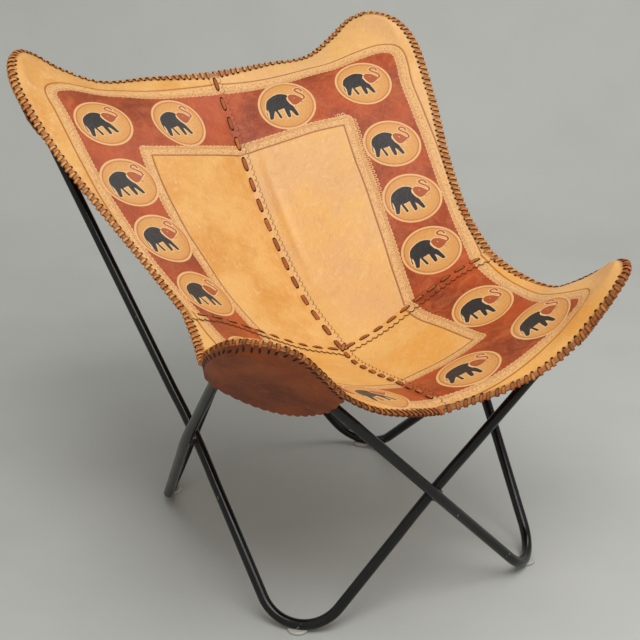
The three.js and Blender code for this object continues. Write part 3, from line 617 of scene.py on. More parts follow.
def border_distance(kind, side, runs, u, v, grid):
    """Distance of a panel's points from a border, positive outside it, and the place along the border."""
    line = np.vstack([along(curve_through(run), np.linspace(0, 1, BORDER_STEPS)) for run in runs])
    line_points = panel_surface(kind, side, line[:, 0], line[:, 1])
    distance, number = nearest_distances(line_points, grid)
    end_of_seam = (0, 1) if kind == "back" else (0, 0)
    closed_line = np.vstack((line, end_of_seam))
    _, inside = distance_to_line(np.stack((u, v), -1).reshape(-1, 2), closed_line, closed=True)
    return np.where(inside.reshape(u.shape), -distance, distance), run_along(line_points)[number]


def medallion_marks(kind, side, grid, normals):
    """Distances of a panel's points from the nearest medallion's rim and from the parts of its figure."""
    rows, columns = grid.shape[:2]
    marks = {name: np.full((rows, columns), FAR_AWAY) for name in MARKS}
    turn = FIGURE_TURN[kind] * (-1 if side == "right" else 1)
    for centre_u, centre_v in MEDALLIONS[kind, side]:
        row, column = round(centre_v * (rows - 1)), round(centre_u * (columns - 1))
        normal = normals[row, column]
        level = square_to(normal, np.array((1.0, 0, 0)))
        to_right = level * np.cos(turn) + np.cross(normal, level) * np.sin(turn)
        local = grid - grid[row, column]
        flat = np.stack((local @ to_right, local @ np.cross(normal, to_right)), -1)
        from_rim = np.linalg.norm(flat, axis=-1) - MEDALLION_RADIUS
        near = from_rim < np.minimum(MARKS_REACH, marks["medallion"])
        spots = flat[near]
        body, in_body = distance_to_line(spots, BODY_OUTLINE, closed=True)
        head, in_head = distance_to_line(spots, HEAD_OUTLINE, closed=True)
        tail, trunk, eye, ear, upper_tusk, lower_tusk = (
            distance_to_line(spots, line)[0]
            for line in (TAIL_LINE, TRUNK_LINE, EYE_LINE, EAR_LINE, *TUSK_LINES))
        marks["medallion"][near] = from_rim[near]
        marks["body"][near] = np.minimum(np.where(in_body, -body, body), tail - TAIL_HALF)
        marks["head"][near] = np.where(in_head, -head, head)
        marks["trunk"][near] = trunk - TRUNK_HALF
        marks["light_mark"][near] = np.minimum(eye - EYE_HALF, ear - EAR_HALF)
        marks["tusk"][near] = np.minimum(upper_tusk, lower_tusk) - TUSK_HALF
    return marks


# Vegetable-tanned cowhide with its grain side up: honey tan, one hide pinker than the other, mottled by
# handling and sun, with fine creases and a soft wax sheen. Part of the pinkness and of the pale streaks is
# painted sheen, the crinkles carry a painted highlight, and painted shade darkens the rim between the
# stitches. Dye and stamping follow the distances in millimetres that are kept on the mesh.
KEPT_NUMBERS = ("outer_border", "outer_place", "inner_border", "inner_place", "rim", "hide", "chain",
                "lap_edge", *MARKS)
TAN = "#dc963b"
TAN_PINK_AND_SHEEN = "#e3ad71"
TAN_SEAT = "#e7a44d"
TAN_PALE = "#ebb366"
TAN_DEEP = "#c8803a"
TAN_RUBBED_AND_SHEEN = "#eebb7d"
TAN_CRINKLE_HIGHLIGHT = "#f0c48c"
RIM_SHADE_BROWN = "#94592a"
DYE_RED = "#b3470f"
DYE_DARK = "#86330c"
DYE_PALE = "#c96f3c"
STRIP_TAN = "#e6b276"
STRIP_STIPPLE = "#c98d52"
CUT_LINE = "#8e4d20"
DISC_TAN = "#e0a860"
DISC_ORANGE = "#d68c45"
RIM_LIGHT = "#e4b278"
LAP_BROWN = "#5f3114"
FIGURE_BLACK = "#2d2826"
FIGURE_RED = "#ad5527"
FIGURE_LIGHT = "#f0c591"
PATCH_SIZE = 0.11
STREAK_SIZE = 0.03
CRINKLE_SIZE = 0.015
CRINKLE_STRETCH = (1.0, 1.0, 0.3)
CREASE_SIZE = 0.022
GRAIN_SIZE = 0.0032
STIPPLE_SIZE = 0.0036
SCALLOP_PITCH = 9.0
SCALLOP_DEPTH = 1.6
CHAIN_RINGS = (9.6, 12.6, 3.0)
ARC_RINGS = {"outer": (6.4, -4.6, 2.3), "inner": (6.4, 4.6, 2.3)}
RIM_RING_INSET = 2.0
LINE_RING_INSET = 5.6
GRAIN_HEIGHT = 0.12
tooled_leather, tree, shader, places = new_material("Vegetable-tanned leather, tooled and dyed")
patches = add(tree, "TexNoise", {"Vector": places, "Scale": 1 / PATCH_SIZE, "Detail": 5, "Roughness": 0.62})
streaks = add(tree, "TexNoise", {
    "Vector": places, "Scale": 1 / STREAK_SIZE, "Detail": 7, "Roughness": 0.7, "Distortion": 1.2})
long_places = add(tree, "VectorMath", (places, CRINKLE_STRETCH), operation="MULTIPLY")
crinkles = add(tree, "TexNoise", {
    "Vector": long_places, "Scale": 1 / CRINKLE_SIZE, "Detail": 5, "Roughness": 0.65, "Distortion": 1.5})
creases = add(tree, "TexNoise", {
    "Vector": places, "Scale": 1 / CREASE_SIZE, "Detail": 6, "Roughness": 0.6, "Distortion": 2.0})
stipple = add(tree, "TexVoronoi", {"Vector": places, "Scale": 1 / STIPPLE_SIZE, "Randomness": 0.85})
grain = add(tree, "TexVoronoi", {"Vector": places, "Scale": 1 / GRAIN_SIZE}, feature="SMOOTH_F1")
kept = {name: add(tree, "Attribute", output="Fac", attribute_name=name) for name in KEPT_NUMBERS}


def away_from(number, place):
    """How far a number is from a place, whichever side of it."""
    gap = add(tree, "Math", (number, -place), operation="ADD")
    return add(tree, "Math", (gap,), operation="ABSOLUTE")


def scalloped_strip(border):
    """Distance outside the scalloped edge of a border's strip."""
    wave = add(tree, "Math", (kept[border + "_place"], np.pi / SCALLOP_PITCH), operation="MULTIPLY")
    wave = add(tree, "Math", (wave,), operation="SINE")
    wave = add(tree, "Math", (wave,), operation="ABSOLUTE")
    from_middle = away_from(kept[border + "_border"], 0)
    outside = add(tree, "Math", (from_middle, -STRIP_HALF[border]), operation="ADD")
    return add(tree, "Math", (wave, -SCALLOP_DEPTH, outside), operation="MULTIPLY_ADD")


def ring_row(border, pitch, across, radius):
    """Distance from the nearest line of a row of small rings, stamped beside a border."""
    ring_along = add(tree, "Math", (kept[border + "_place"], pitch), operation="MODULO")
    ring_along = add(tree, "Math", (ring_along, -pitch / 2), operation="ADD")
    ring_across = add(tree, "Math", (kept[border + "_border"], -across), operation="ADD")
    ring_place = add(tree, "CombineXYZ", (ring_along, ring_across))
    return away_from(add(tree, "VectorMath", (ring_place,), operation="LENGTH"), radius)


figure = add(tree, "Math", (kept["body"], kept["head"]), operation="MINIMUM")
figure = add(tree, "Math", (figure, kept["trunk"]), operation="MINIMUM")
dye = layered(tree, DYE_DARK, (patches, 0.34, 0.6, 1, DYE_RED), (streaks, 0.46, 0.74, 0.65, DYE_PALE))
strip = layered(tree, STRIP_TAN, (stipple, 0.48, 0.24, 1, STRIP_STIPPLE))
disc = layered(tree, DISC_TAN, (kept["medallion"], -34, -4, 0.75, DISC_ORANGE))
masks, colour = {}, TAN
for name, value, start, end, strength, layer in (
        ("dots", stipple, 0.48, 0.24, 1, None),
        ("inside_outer", kept["outer_border"], 0.5, -0.5, 1, None),
        ("outside_inner", kept["inner_border"], -0.5, 0.5, 1, None),
        ("chain", kept["chain"], 0, 1, 1, None),
        ("ring", ring_row("inner", *CHAIN_RINGS), 1.2, 0.6, 1, None),
        # Partly painted sheen: the back's right panel is pinker, partly in its own tone and partly as a
        # painted sheen.
        ("pink", kept["hide"], 0, 1, 1, TAN_PINK_AND_SHEEN),
        ("seat", kept["hide"], 0, -1, 1, TAN_SEAT),
        ("pale", patches, 0.4, 0.62, 1, TAN_PALE),
        ("deep", streaks, 0.54, 0.76, 0.35, TAN_DEEP),
        # Pale streaks: partly rubbed wear and partly a painted sheen.
        ("rubbed", streaks, 0.44, 0.3, 0.55, TAN_RUBBED_AND_SHEEN),
        # Painted highlight: the crests of the crinkles are lightened.
        ("crinkled", crinkles, 0.55, 0.68, 0.5, TAN_CRINKLE_HIGHLIGHT),
        # Painted shade: the grain side darkens over the last 15 mm to the rim, where shadow lies between the
        # lacing's stitches.
        ("stain", kept["rim"], 15, 8, 0.85, RIM_SHADE_BROWN),
        ("band", ("inside_outer", "outside_inner"), 0, 1, 1, dye),
        ("loops", ("chain", "ring"), 0, 1, 1, STRIP_TAN),
        ("outer_strip", scalloped_strip("outer"), 0.2, -0.8, 1, strip),
        ("inner_strip", scalloped_strip("inner"), 0.2, -0.8, 1, strip),
        ("outer_arcs", ring_row("outer", *ARC_RINGS["outer"]), 1.1, 0.5, 0.75, STRIP_STIPPLE),
        ("inner_arcs", ring_row("inner", *ARC_RINGS["inner"]), 1.1, 0.5, 0.75, STRIP_STIPPLE),
        ("outer_cut", away_from(kept["outer_border"], CUT_PLACE["outer"]), 2.4, 0.5, 0.8, CUT_LINE),
        ("inner_cut", away_from(kept["inner_border"], CUT_PLACE["inner"]), 2.5, 0.5, 0.85, CUT_LINE),
        ("lap_line", kept["lap_edge"], 2.1, 0.9, 0.7, LAP_BROWN),
        ("disc", kept["medallion"], 0.5, -0.5, 1, disc),
        ("disc_dots", ("disc", "dots"), 0, 1, 0.7, STRIP_STIPPLE),
        ("rim_ring", away_from(kept["medallion"], -RIM_RING_INSET), 2.2, 1.4, 1, RIM_LIGHT),
        ("line_ring", away_from(kept["medallion"], -LINE_RING_INSET), 1.3, 0.5, 0.5, CUT_LINE),
        ("halo", figure, 1.9, 1.1, 0.85, FIGURE_LIGHT),
        ("trunk", kept["trunk"], 0.3, -0.3, 1, FIGURE_RED),
        ("body", kept["body"], 0.4, -0.4, 1, FIGURE_BLACK),
        ("head", kept["head"], 0.2, -0.5, 1, FIGURE_RED),
        ("light", kept["light_mark"], 0.4, -0.4, 1, FIGURE_LIGHT),
        ("tusk", kept["tusk"], 0.4, -0.2, 1, FIGURE_BLACK)):
    if isinstance(value, tuple):
        value = add(tree, "Math", [masks[part] for part in value], operation="MULTIPLY")
    masks[name] = add(tree, "MapRange", {
        "Value": value, "From Min": start, "From Max": end, "To Max": strength})
    if layer is not None:
        colour = add(tree, "Mix", {"Factor": masks[name], "A": colour, "B": layer}, data_type="RGBA")
stamped = add(tree, "Math", (masks["outer_strip"], masks["inner_strip"]), operation="MAXIMUM")
stamped = add(tree, "Math", (stamped, masks["dots"]), operation="MULTIPLY")
cuts = add(tree, "Math", (masks["outer_cut"], masks["inner_cut"]), operation="MAXIMUM")
cuts = add(tree, "Math", (cuts, masks["line_ring"]), operation="MAXIMUM")
height = add(tree, "Math", (grain, GRAIN_HEIGHT), operation="MULTIPLY")
for shape, depth in (
        (creases, 2.0), (crinkles, 1.3), (stamped, -0.6), (cuts, -0.8), (masks["halo"], -0.5),
        (masks["loops"], 0.5), (masks["outer_arcs"], -0.5), (masks["inner_arcs"], -0.5)):
    height = add(tree, "Math", (shape, depth, height), operation="MULTIPLY_ADD")
waxed = add(tree, "MapRange", {
    "Value": streaks, "From Min": 0.3, "From Max": 0.75, "To Min": 0.3, "To Max": 0.54})
fill(shader, {"Base Color": colour, "Roughness": waxed, "IOR": 1.48, "Specular IOR Level": 0.46,
              "Normal": add(tree, "Bump", {"Height": height, "Strength": 0.55, "Distance": 0.0012})})

# The flesh side and the cut edges of the same hide are matt, fibrous and a little darker. Each panel is
# a closed piece of leather, pressed where it is tooled, that hangs in low waves with one fold.
FLESH_TAN = "#b57c45"
FLESH_DARK = "#855027"
FIBRE_SIZE = 0.006
SHARP_ANGLE = np.radians(50)
STAMP_DEPTH = 0.5
STAMP_EDGE = 0.8
CUT_DEPTH = 0.7
CUT_SPREAD = 1.8
UNDULATION = 1.6
WAVE_LENGTHS = (31.0, 47.0, 39.0, 57.0)
WAVE_SHIFT = 1.0
INLAND_RISE = 6
FOLDED_PANEL = ("back", "right")
FOLD_HEIGHT = 3.5
FOLD_ACROSS = (0.085, 0.02)
FOLD_DOWN = (0.26, 0.5)
CHAIN_RUN = (195, 470)
CHAIN_FADE = (8, 90)
# Tone of each panel's hide; the pink of the back's right panel is partly a painted sheen.
HIDE_TONE_AND_SHEEN = {("back", "right"): 1.0, ("back", "left"): 0.15, ("seat", "right"): -1.0, ("seat", "left"): -1.0}
flesh_leather, tree, shader, places = new_material("Flesh side of vegetable-tanned leather")
fibres = add(tree, "TexNoise", {"Vector": places, "Scale": 1 / FIBRE_SIZE, "Detail": 8, "Roughness": 0.75})
stains = add(tree, "TexNoise", {"Vector": places, "Scale": 1 / PATCH_SIZE, "Detail": 4})
mottled = add(tree, "Math", (fibres, stains), operation="MULTIPLY")
fill(shader, {"Base Color": layered(tree, FLESH_DARK, (mottled, 0.12, 0.4, 1, FLESH_TAN)), "Roughness": 0.85,
              "Sheen Weight": 0.1, "Sheen Tint": FLESH_TAN,
              "Normal": add(tree, "Bump", {"Height": fibres, "Strength": 0.4, "Distance": 0.0012})})


def leather_object(name, top, bottom, face_out, grain_side, flesh_side):
    """A closed piece of leather between two grids of points, in millimetres; face_out turns its faces."""
    rows, columns = top.shape[:2]
    below = rows * columns
    number = np.arange(below).reshape(rows, columns)
    quads = np.stack((number[:-1, :-1], number[1:, :-1], number[1:, 1:], number[:-1, 1:]), -1).reshape(-1, 4)
    edge = np.concatenate((number[:-1, 0], number[-1, :-1], number[:0:-1, -1], number[0, :0:-1]))
    following = np.roll(edge, -1)
    walls = np.stack((edge, edge + below, following + below, following), -1)
    faces = np.vstack((quads, (quads + below)[:, ::-1], walls))
    if face_out < 0:
        faces = faces[:, ::-1]
    points = placed(np.concatenate((top.reshape(-1, 3), bottom.reshape(-1, 3))))
    made = mesh_object(name, points, faces, grain_side, flesh_side)
    on_flesh = [0] * len(quads) + [1] * (len(quads) + len(walls))
    made.data.polygons.foreach_set("material_index", on_flesh)
    made.data.set_sharp_from_angle(angle=SHARP_ANGLE)
    return made


def keep_numbers(piece, numbers):
    """Keeps numbers for each point of a piece's grain side, and of its flesh side."""
    for name in KEPT_NUMBERS:
        attribute = piece.data.attributes.new(name, "FLOAT", "POINT")
        attribute.data.foreach_set("value", np.tile(np.asarray(numbers[name], np.float32).ravel(), 2))


panel_piece, panel_numbers = {}, {}
for kind, side in panels:
    u, v = panel_shares[kind]
    grid, normals = panel_grid[kind, side], panel_normal[kind, side]
    from_rim, _ = nearest_distances(rim_line, grid * FLIP[side])
    numbers = {"rim": from_rim, "hide": np.full(u.shape, HIDE_TONE_AND_SHEEN[kind, side]),
               "lap_edge": np.full(u.shape, FAR_AWAY), **medallion_marks(kind, side, grid, normals)}
    pressed = np.zeros(u.shape)
    for border, lines in BORDERS.items():
        distance, run = border_distance(kind, side, lines[kind, side], u, v, grid)
        numbers[border + "_border"], numbers[border + "_place"] = distance, run
        pressed -= STAMP_DEPTH / (1 + np.exp((np.abs(distance) - STRIP_HALF[border]) / STAMP_EDGE))
        pressed -= CUT_DEPTH * np.exp(-((distance - CUT_PLACE[border]) / CUT_SPREAD) ** 2)
    inland = np.minimum(1, INLAND_RISE * u * (1 - u)) * np.minimum(1, INLAND_RISE * v * (1 - v))
    x, y, z = np.moveaxis(grid, -1, 0)
    first, second, third, fourth = WAVE_LENGTHS
    waves = np.sin(x / first + z / second) + np.sin(y / third - x / fourth + WAVE_SHIFT)
    folded = float((kind, side) == FOLDED_PANEL)
    fold = np.exp(-((u - FOLD_ACROSS[0]) / FOLD_ACROSS[1]) ** 2)
    fold = fold * np.clip(np.sin(np.pi * (v - FOLD_DOWN[0]) / FOLD_DOWN[1]), 0, 1)
    hang = normals * (inland * UNDULATION * waves / 2 + folded * FOLD_HEIGHT * fold)[..., None]
    chain_start = np.clip((numbers["inner_place"] - CHAIN_RUN[0]) / CHAIN_FADE[0], 0, 1)
    chain_end = np.clip((CHAIN_RUN[1] - numbers["inner_place"]) / CHAIN_FADE[1], 0, 1)
    numbers["chain"] = folded * chain_start * chain_end
    top = grid + hang + normals * (LEATHER_THICKNESS / 2 + pressed)[..., None]
    bottom = grid + hang - normals * LEATHER_THICKNESS / 2
    turned = np.mean(grid_facing(grid) * normals)
    piece = leather_object("leather_{}_{}".format(kind, side), top, bottom, turned,
                           tooled_leather, flesh_leather)
    keep_numbers(piece, numbers)
    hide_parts("panel_{}_{}".format(kind, side))
    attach(piece, "root")
    panel_piece[kind, side], panel_numbers[kind, side] = piece, numbers

# The corner pockets: a flap of brown leather laced under each corner, with its mouth open towards the
# legs. The tip of the frame sits in it and carries the sling. The mouth is cut in small scallops.
POCKET_SIDE_ARM = 165.0
POCKET_END_ARM = 200.0
POCKET_ARMS = {
    "back": ((BACK_SIDE_EDGE, False, POCKET_SIDE_ARM), (TOP_EDGE, True, POCKET_END_ARM)),
    "front": ((FRONT_EDGE, True, POCKET_END_ARM), (SEAT_SIDE_EDGE, True, POCKET_SIDE_ARM)),
}
POCKET_ENDS = (0.03, 0.97)
POCKET_STEPS_ALONG = 240
POCKET_STEPS_DOWN = 60
POCKET_CROWDING = 1.5
MOUTH_SAG = 75.0
MOUTH_SCALLOP = 14.0
MOUTH_SCALLOP_DEPTH = 4.5
SLIT_INSET = 7.5
POCKET_BROWN = "#9a4a1a"
POCKET_DARK = "#743312"
POCKET_ORANGE = "#bd6826"
STAIN_SIZE = 0.09
SCRATCH_SIZE = 0.025
SCRATCH_HEIGHT = 3.0
pocket_leather, tree, shader, places = new_material("Brown leather, oiled")
stains = add(tree, "TexNoise", {"Vector": places, "Scale": 1 / STAIN_SIZE, "Detail": 6, "Roughness": 0.6})
scratches = add(tree, "TexNoise", {
    "Vector": places, "Scale": 1 / SCRATCH_SIZE, "Detail": 8, "Roughness": 0.7, "Distortion": 1.5})
pocket_grain = add(tree, "TexVoronoi", {"Vector": places, "Scale": 1 / GRAIN_SIZE}, feature="SMOOTH_F1")
pocket_height = add(tree, "Math", (scratches, SCRATCH_HEIGHT, pocket_grain), operation="MULTIPLY_ADD")
brown = layered(tree, POCKET_DARK, (stains, 0.38, 0.62, 1, POCKET_BROWN),
                (scratches, 0.55, 0.75, 0.6, POCKET_ORANGE))
fill(shader, {"Base Color": brown, "Roughness": 0.48, "Specular IOR Level": 0.28,
              "Normal": add(tree, "Bump", {"Height": pocket_height, "Strength": 0.3, "Distance": 0.001})})


def on_arms(arms, shares):
    """Points on the laced edge of a pocket, from the end of its first arm round the tip to the second's."""
    (first, first_ends, first_length), (second, second_ends, second_length) = arms
    distance = shares * (first_length + second_length) - first_length
    on_first = np.clip(-distance, 0, None) / first[2]
    on_second = np.clip(distance, 0, None) / second[2]
    first_points = along(first, 1 - on_first if first_ends else on_first)
    second_points = along(second, 1 - on_second if second_ends else on_second)
    return np.where((distance < 0)[..., None], first_points, second_points)


laced_edges, slit_points, slit_facings = [], [], []
pocket_columns = np.arange(POCKET_STEPS_ALONG)
s, t = np.meshgrid(np.linspace(*POCKET_ENDS, POCKET_STEPS_ALONG),
                   np.linspace(0, 1, POCKET_STEPS_DOWN) ** POCKET_CROWDING)
for kind, side in ((kind, side) for kind in POCKET_ARMS for side in SIDES):
    plane = tip_plane(kind, side)
    centre, outward, down = plane[0], plane[3], plane[4]
    laced = on_arms(POCKET_ARMS[kind], s)
    ends = on_arms(POCKET_ARMS[kind], np.array((0.0, 1.0)))
    mouth_length = np.linalg.norm(ends[1] - ends[0])
    scallop = np.abs(np.sin(np.pi * s * mouth_length / MOUTH_SCALLOP)) * MOUTH_SCALLOP_DEPTH
    mouth = ends[0] * (1 - s[..., None]) + ends[1] * s[..., None]
    mouth = mouth + (MOUTH_SAG * 4 * s * (1 - s) + scallop)[..., None] * down
    points = laced * (1 - t[..., None]) + mouth * t[..., None]
    from_rim, _ = nearest_distances(rim_line, points)
    lifted = height_over_tube(plane, points, ((laced - centre) @ outward) * (1 - t), from_rim)
    points = points + (lifted - (points - centre) @ outward)[..., None] * outward
    half = outward * LEATHER_THICKNESS / 2
    outer_face, inner_face = (points + half) * FLIP[side], (points - half) * FLIP[side]
    facing = grid_facing(points * FLIP[side])
    turned = np.mean(facing @ (outward * FLIP[side]))
    pocket = leather_object("corner_pocket_{}_{}".format(kind, side), outer_face, inner_face, turned,
                            pocket_leather, flesh_leather)
    steps_down = np.linalg.norm(np.diff(outer_face, axis=0), axis=-1)
    slit_rows = np.argmax(np.cumsum(steps_down, axis=0) > SLIT_INSET, axis=0) + 1
    laced_edges.append(laced[0] * FLIP[side])
    slit_points.append(outer_face[slit_rows, pocket_columns])
    slit_facings.append(unit(facing * np.sign(turned))[slit_rows, pocket_columns])
    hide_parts("pocket_{}_{}".format(kind, side))
    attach(pocket, "root")

# The seams: each upper panel laps a little over the next one with a scalloped edge, and a flat thong
# runs in and out through both in a line of long stitches. Two short stitches cross where seams meet.
SEAM_PANEL = {"back_middle": ("back", "right"), "seat_middle": ("seat", "right"),
              "cross_right": ("seat", "right"), "cross_left": ("seat", "left")}
LAP_UNDER = 7.0
LAP_WIDTH = {"back_middle": 14.5, "seat_middle": 14.0, "cross_right": 18.0, "cross_left": 18.0}
LAP_SCALLOP = 12.0
LAP_SCALLOP_DEPTH = 5.5
LAP_SCALLOP_POWER = 0.7
LAP_LOW = 1.2
LAP_HIGH = 3.6
LAP_CROWN = 0.7
LAP_CROWN_POWER = 4
LAP_END_GAP = 2.0
LAP_STEP = 0.8
LAP_COLUMNS = 8
SEAM_INWARDS = 6
SEAM_FACING = 3
PANEL_LAPS = {("back", "right"): ["cross_right"], ("back", "left"): ["back_middle", "cross_left"],
              ("seat", "right"): [], ("seat", "left"): ["seat_middle"]}
BURNISHED_BROWN = "#7a4520"
BURNISHED_DARK = "#4a2611"
burnished_edge, tree, shader, places = new_material("Burnished cut edge of leather")
rubbing = add(tree, "TexNoise", {"Vector": places, "Scale": 1 / FIBRE_SIZE, "Detail": 4})
burnished = layered(tree, BURNISHED_DARK, (rubbing, 0, 1, 1, BURNISHED_BROWN))
fill(shader, {"Base Color": burnished, "Roughness": 0.5})


def seam_line(name):
    """A seam's run and points on a panel's grain side, with the ways across onto the panel and up."""
    grid, normals = panel_grid[SEAM_PANEL[name]], panel_normal[SEAM_PANEL[name]]
    if name.endswith("middle"):
        grid, normals = np.swapaxes(grid, 0, 1), np.swapaxes(normals, 0, 1)
    return run_along(grid[0]), grid[0], grid[SEAM_INWARDS] - grid[0], normals[SEAM_FACING]


def seam_frames(seam, places_along):
    """Points and ways of a seam at places along it, in millimetres."""
    run, line, inwards, up = seam
    point, across, facing = (read_along(places_along, run, values) for values in (line, inwards, up))
    way = unit(np.gradient(point, axis=0))
    facing = square_to(way, facing)
    return point, way, square_to(facing, square_to(way, across)), facing


seams = {name: seam_line(name) for name in SEAM_PANEL}
lap_pieces = {}
for name, seam in seams.items():
    places_along = np.arange(LAP_END_GAP, seam[0][-1] - LAP_END_GAP, LAP_STEP)
    point, way, across, up = seam_frames(seam, places_along)
    lobes = np.abs(np.sin(np.pi * places_along / LAP_SCALLOP)) ** LAP_SCALLOP_POWER
    reach = LAP_WIDTH[name] - LAP_SCALLOP_DEPTH * (1 - lobes)
    columns = np.linspace(0, 1, LAP_COLUMNS)
    spread = -LAP_UNDER + (reach[:, None] + LAP_UNDER) * columns
    flat = point[:, None] + spread[..., None] * across[:, None]
    crown = LAP_HIGH - LAP_CROWN * np.abs(2 * columns - 1) ** LAP_CROWN_POWER
    lap_top = flat + crown[None, :, None] * up[:, None]
    lap_bottom = flat + LAP_LOW * up[:, None]
    turned = np.mean(grid_facing(flat) * up[:, None])
    lap = leather_object("seam_lap_" + name, lap_top, lap_bottom, turned, tooled_leather, burnished_edge)
    _, nearest = nearest_distances(panel_grid[SEAM_PANEL[name]].reshape(-1, 3), flat)
    numbers = {number: values.ravel()[nearest] for number, values in panel_numbers[SEAM_PANEL[name]].items()}
    numbers["lap_edge"] = reach[:, None] - spread
    keep_numbers(lap, numbers)
    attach(lap, "root")
    lap_pieces[name] = lap
for (kind, side), names in PANEL_LAPS.items():
    [lap_pieces[name] for name in names]

# The thong and the lacing are cut from thinner, softer hide, dyed unevenly from tan to brown. Their
# sides are darkened as painted shade.
LACE_TAN = "#dd9650"
LACE_BROWN = "#8a4a24"
LACE_RED = "#bb642d"
LACE_SIDE_SHADE = "#52260e"
LACE_STAIN = 0.012
STAIN_SHARE = 0.5
LACE_GRAIN = 0.002
AWL_SHADOW_BROWN = "#2b170c"
AWL_SHADOW_BLACK = "#160c07"
lace_leather, tree, shader, places = new_material("Soft lacing leather, dyed")
shade = add(tree, "Attribute", output="Fac", attribute_name="shade")
side_shade = add(tree, "Attribute", output="Fac", attribute_name="side_shade")
lace_stains = add(tree, "TexNoise", {"Vector": places, "Scale": 1 / LACE_STAIN, "Detail": 5})
lace_shade = add(tree, "Math", (lace_stains, STAIN_SHARE, shade), operation="MULTIPLY_ADD")
lace_grain = add(tree, "TexNoise", {"Vector": places, "Scale": 1 / LACE_GRAIN, "Detail": 4})
# The straps' sides take a painted shade.
dyed = layered(tree, LACE_TAN, (lace_shade, 0.2, 0.7, 1, LACE_RED), (lace_shade, 0.6, 1.1, 1, LACE_BROWN),
               (side_shade, 0.55, 1.0, 0.9, LACE_SIDE_SHADE))
fill(shader, {"Base Color": dyed, "Roughness": 0.56, "Specular IOR Level": 0.24,
              "Normal": add(tree, "Bump", {"Height": lace_grain, "Strength": 0.35, "Distance": 0.0006})})
# Awl holes and slits are drawn as dark pieces laid on the leather: painted shadow where the thong goes
# through.
awl_shadow, tree, shader, places = new_material("Painted shadow in awl holes and slits")
hole_shadow_mottle = add(tree, "TexNoise", {"Vector": places, "Scale": 1 / LACE_GRAIN, "Detail": 3})
fill(shader, {"Base Color": layered(tree, AWL_SHADOW_BLACK, (hole_shadow_mottle, 0, 1, 1, AWL_SHADOW_BROWN)), "Roughness": 0.9})


def stitch_tree(name, sizes):
    """An empty Geometry Nodes tree and what it is given: stitch places, named sizes and a leather."""
    made = bpy.data.node_groups.new(name, "GeometryNodeTree")
    made.interface.new_socket("Geometry", in_out="OUTPUT", socket_type="NodeSocketGeometry")
    kinds = {"Geometry": "Geometry", **{size: "Float" for size in sizes}, "Leather": "Material"}
    for socket_name, kind in kinds.items():
        made.interface.new_socket(socket_name, in_out="INPUT", socket_type="NodeSocket" + kind)
    return made, made.nodes.new("NodeGroupInput").outputs


def finish_stitches(tree, given, stitch):
    """Puts a stitch on every place, turned by the kept ways, and ends the tree in one plain mesh."""
    facing = add(tree, "GeometryNodeInputNamedAttribute", {"Name": "facing"}, data_type="FLOAT_VECTOR")
    way = add(tree, "GeometryNodeInputNamedAttribute", {"Name": "way"}, data_type="FLOAT_VECTOR")
    turn = add(tree, "FunctionNodeAxesToRotation", (facing, way), primary_axis="Z", secondary_axis="X")
    spots = add(tree, "GeometryNodeMeshToPoints", {"Mesh": given["Geometry"]})
    row = add(tree, "GeometryNodeInstanceOnPoints", {"Points": spots, "Instance": stitch, "Rotation": turn})
    row = add(tree, "GeometryNodeRealizeInstances", {"Geometry": row})
    row = add(tree, "GeometryNodeSetShadeSmooth", {"Geometry": row})
    row = add(tree, "GeometryNodeSetMaterial", {"Geometry": row, "Material": given["Leather"]})
    fill(tree.nodes.new("NodeGroupOutput"), (row,))


def share_of_half(tree, axis, size):
    """How far a point lies from the middle along an axis, as a share of half a size."""
    place = add(tree, "SeparateXYZ", (add(tree, "GeometryNodeInputPosition"),), output=axis)
    share = add(tree, "Math", (place, size), operation="DIVIDE")
    share = add(tree, "Math", (share,), operation="ABSOLUTE")
    return add(tree, "Math", (share, 2.0), operation="MULTIPLY")


def with_side_shade(tree, given, shape):
    """Keeps on a strap or its profile how near each point is to the strap's sides, where painted shade goes.
    """
    return add(tree, "GeometryNodeStoreNamedAttribute", {
        "Geometry": shape, "Name": "side_shade", "Value": share_of_half(tree, "Y", given["Width"])})


def stitched(name, tree, sizes, leather, points, ways, facings, shades):
    """Runs a stitch tree on places in millimetres and keeps the result as a plain mesh object."""
    made = mesh_object(name, placed(points), [])
    for attribute_name, values in (("way", ways), ("facing", facings)):
        attribute = made.data.attributes.new(attribute_name, "FLOAT_VECTOR", "POINT")
        attribute.data.foreach_set("vector", np.asarray(values, np.float32).ravel())
    attribute = made.data.attributes.new("shade", "FLOAT", "POINT")
    attribute.data.foreach_set("value", np.asarray(shades, np.float32))
    modifier = made.modifiers.new(name, "NODES")
    modifier.node_group = tree
    for socket in tree.interface.items_tree:
        if socket.in_out == "INPUT" and socket.name != "Geometry":
            modifier[socket.identifier] = leather if socket.name == "Leather" else sizes[socket.name] * MM
    bpy.context.view_layer.update()
    evaluated = made.evaluated_get(bpy.context.evaluated_depsgraph_get())
    plain = bpy.data.meshes.new_from_object(evaluated)
    made.modifiers.clear()
    made.data = plain
    return made


# A running stitch is a flat strap whose two ends narrow and dive into the slits in the leather. Between
# two of them the thong runs along the flesh side, where it shows as a row of shorter stitches.
STITCH_PITCH = {"back_middle": 44.0, "seat_middle": 30.0, "cross_right": 31.0, "cross_left": 31.0}
STITCH_GROUPS = {"long": ("back_middle",), "short": ("seat_middle", "cross_right", "cross_left")}
STITCH_SIZE = {"long": {"Length": 28.0, "Width": 7.5, "Thickness": 2.2, "Dive": 3.6},
               "short": {"Length": 20.0, "Width": 6.5, "Thickness": 2.2, "Dive": 3.6}}
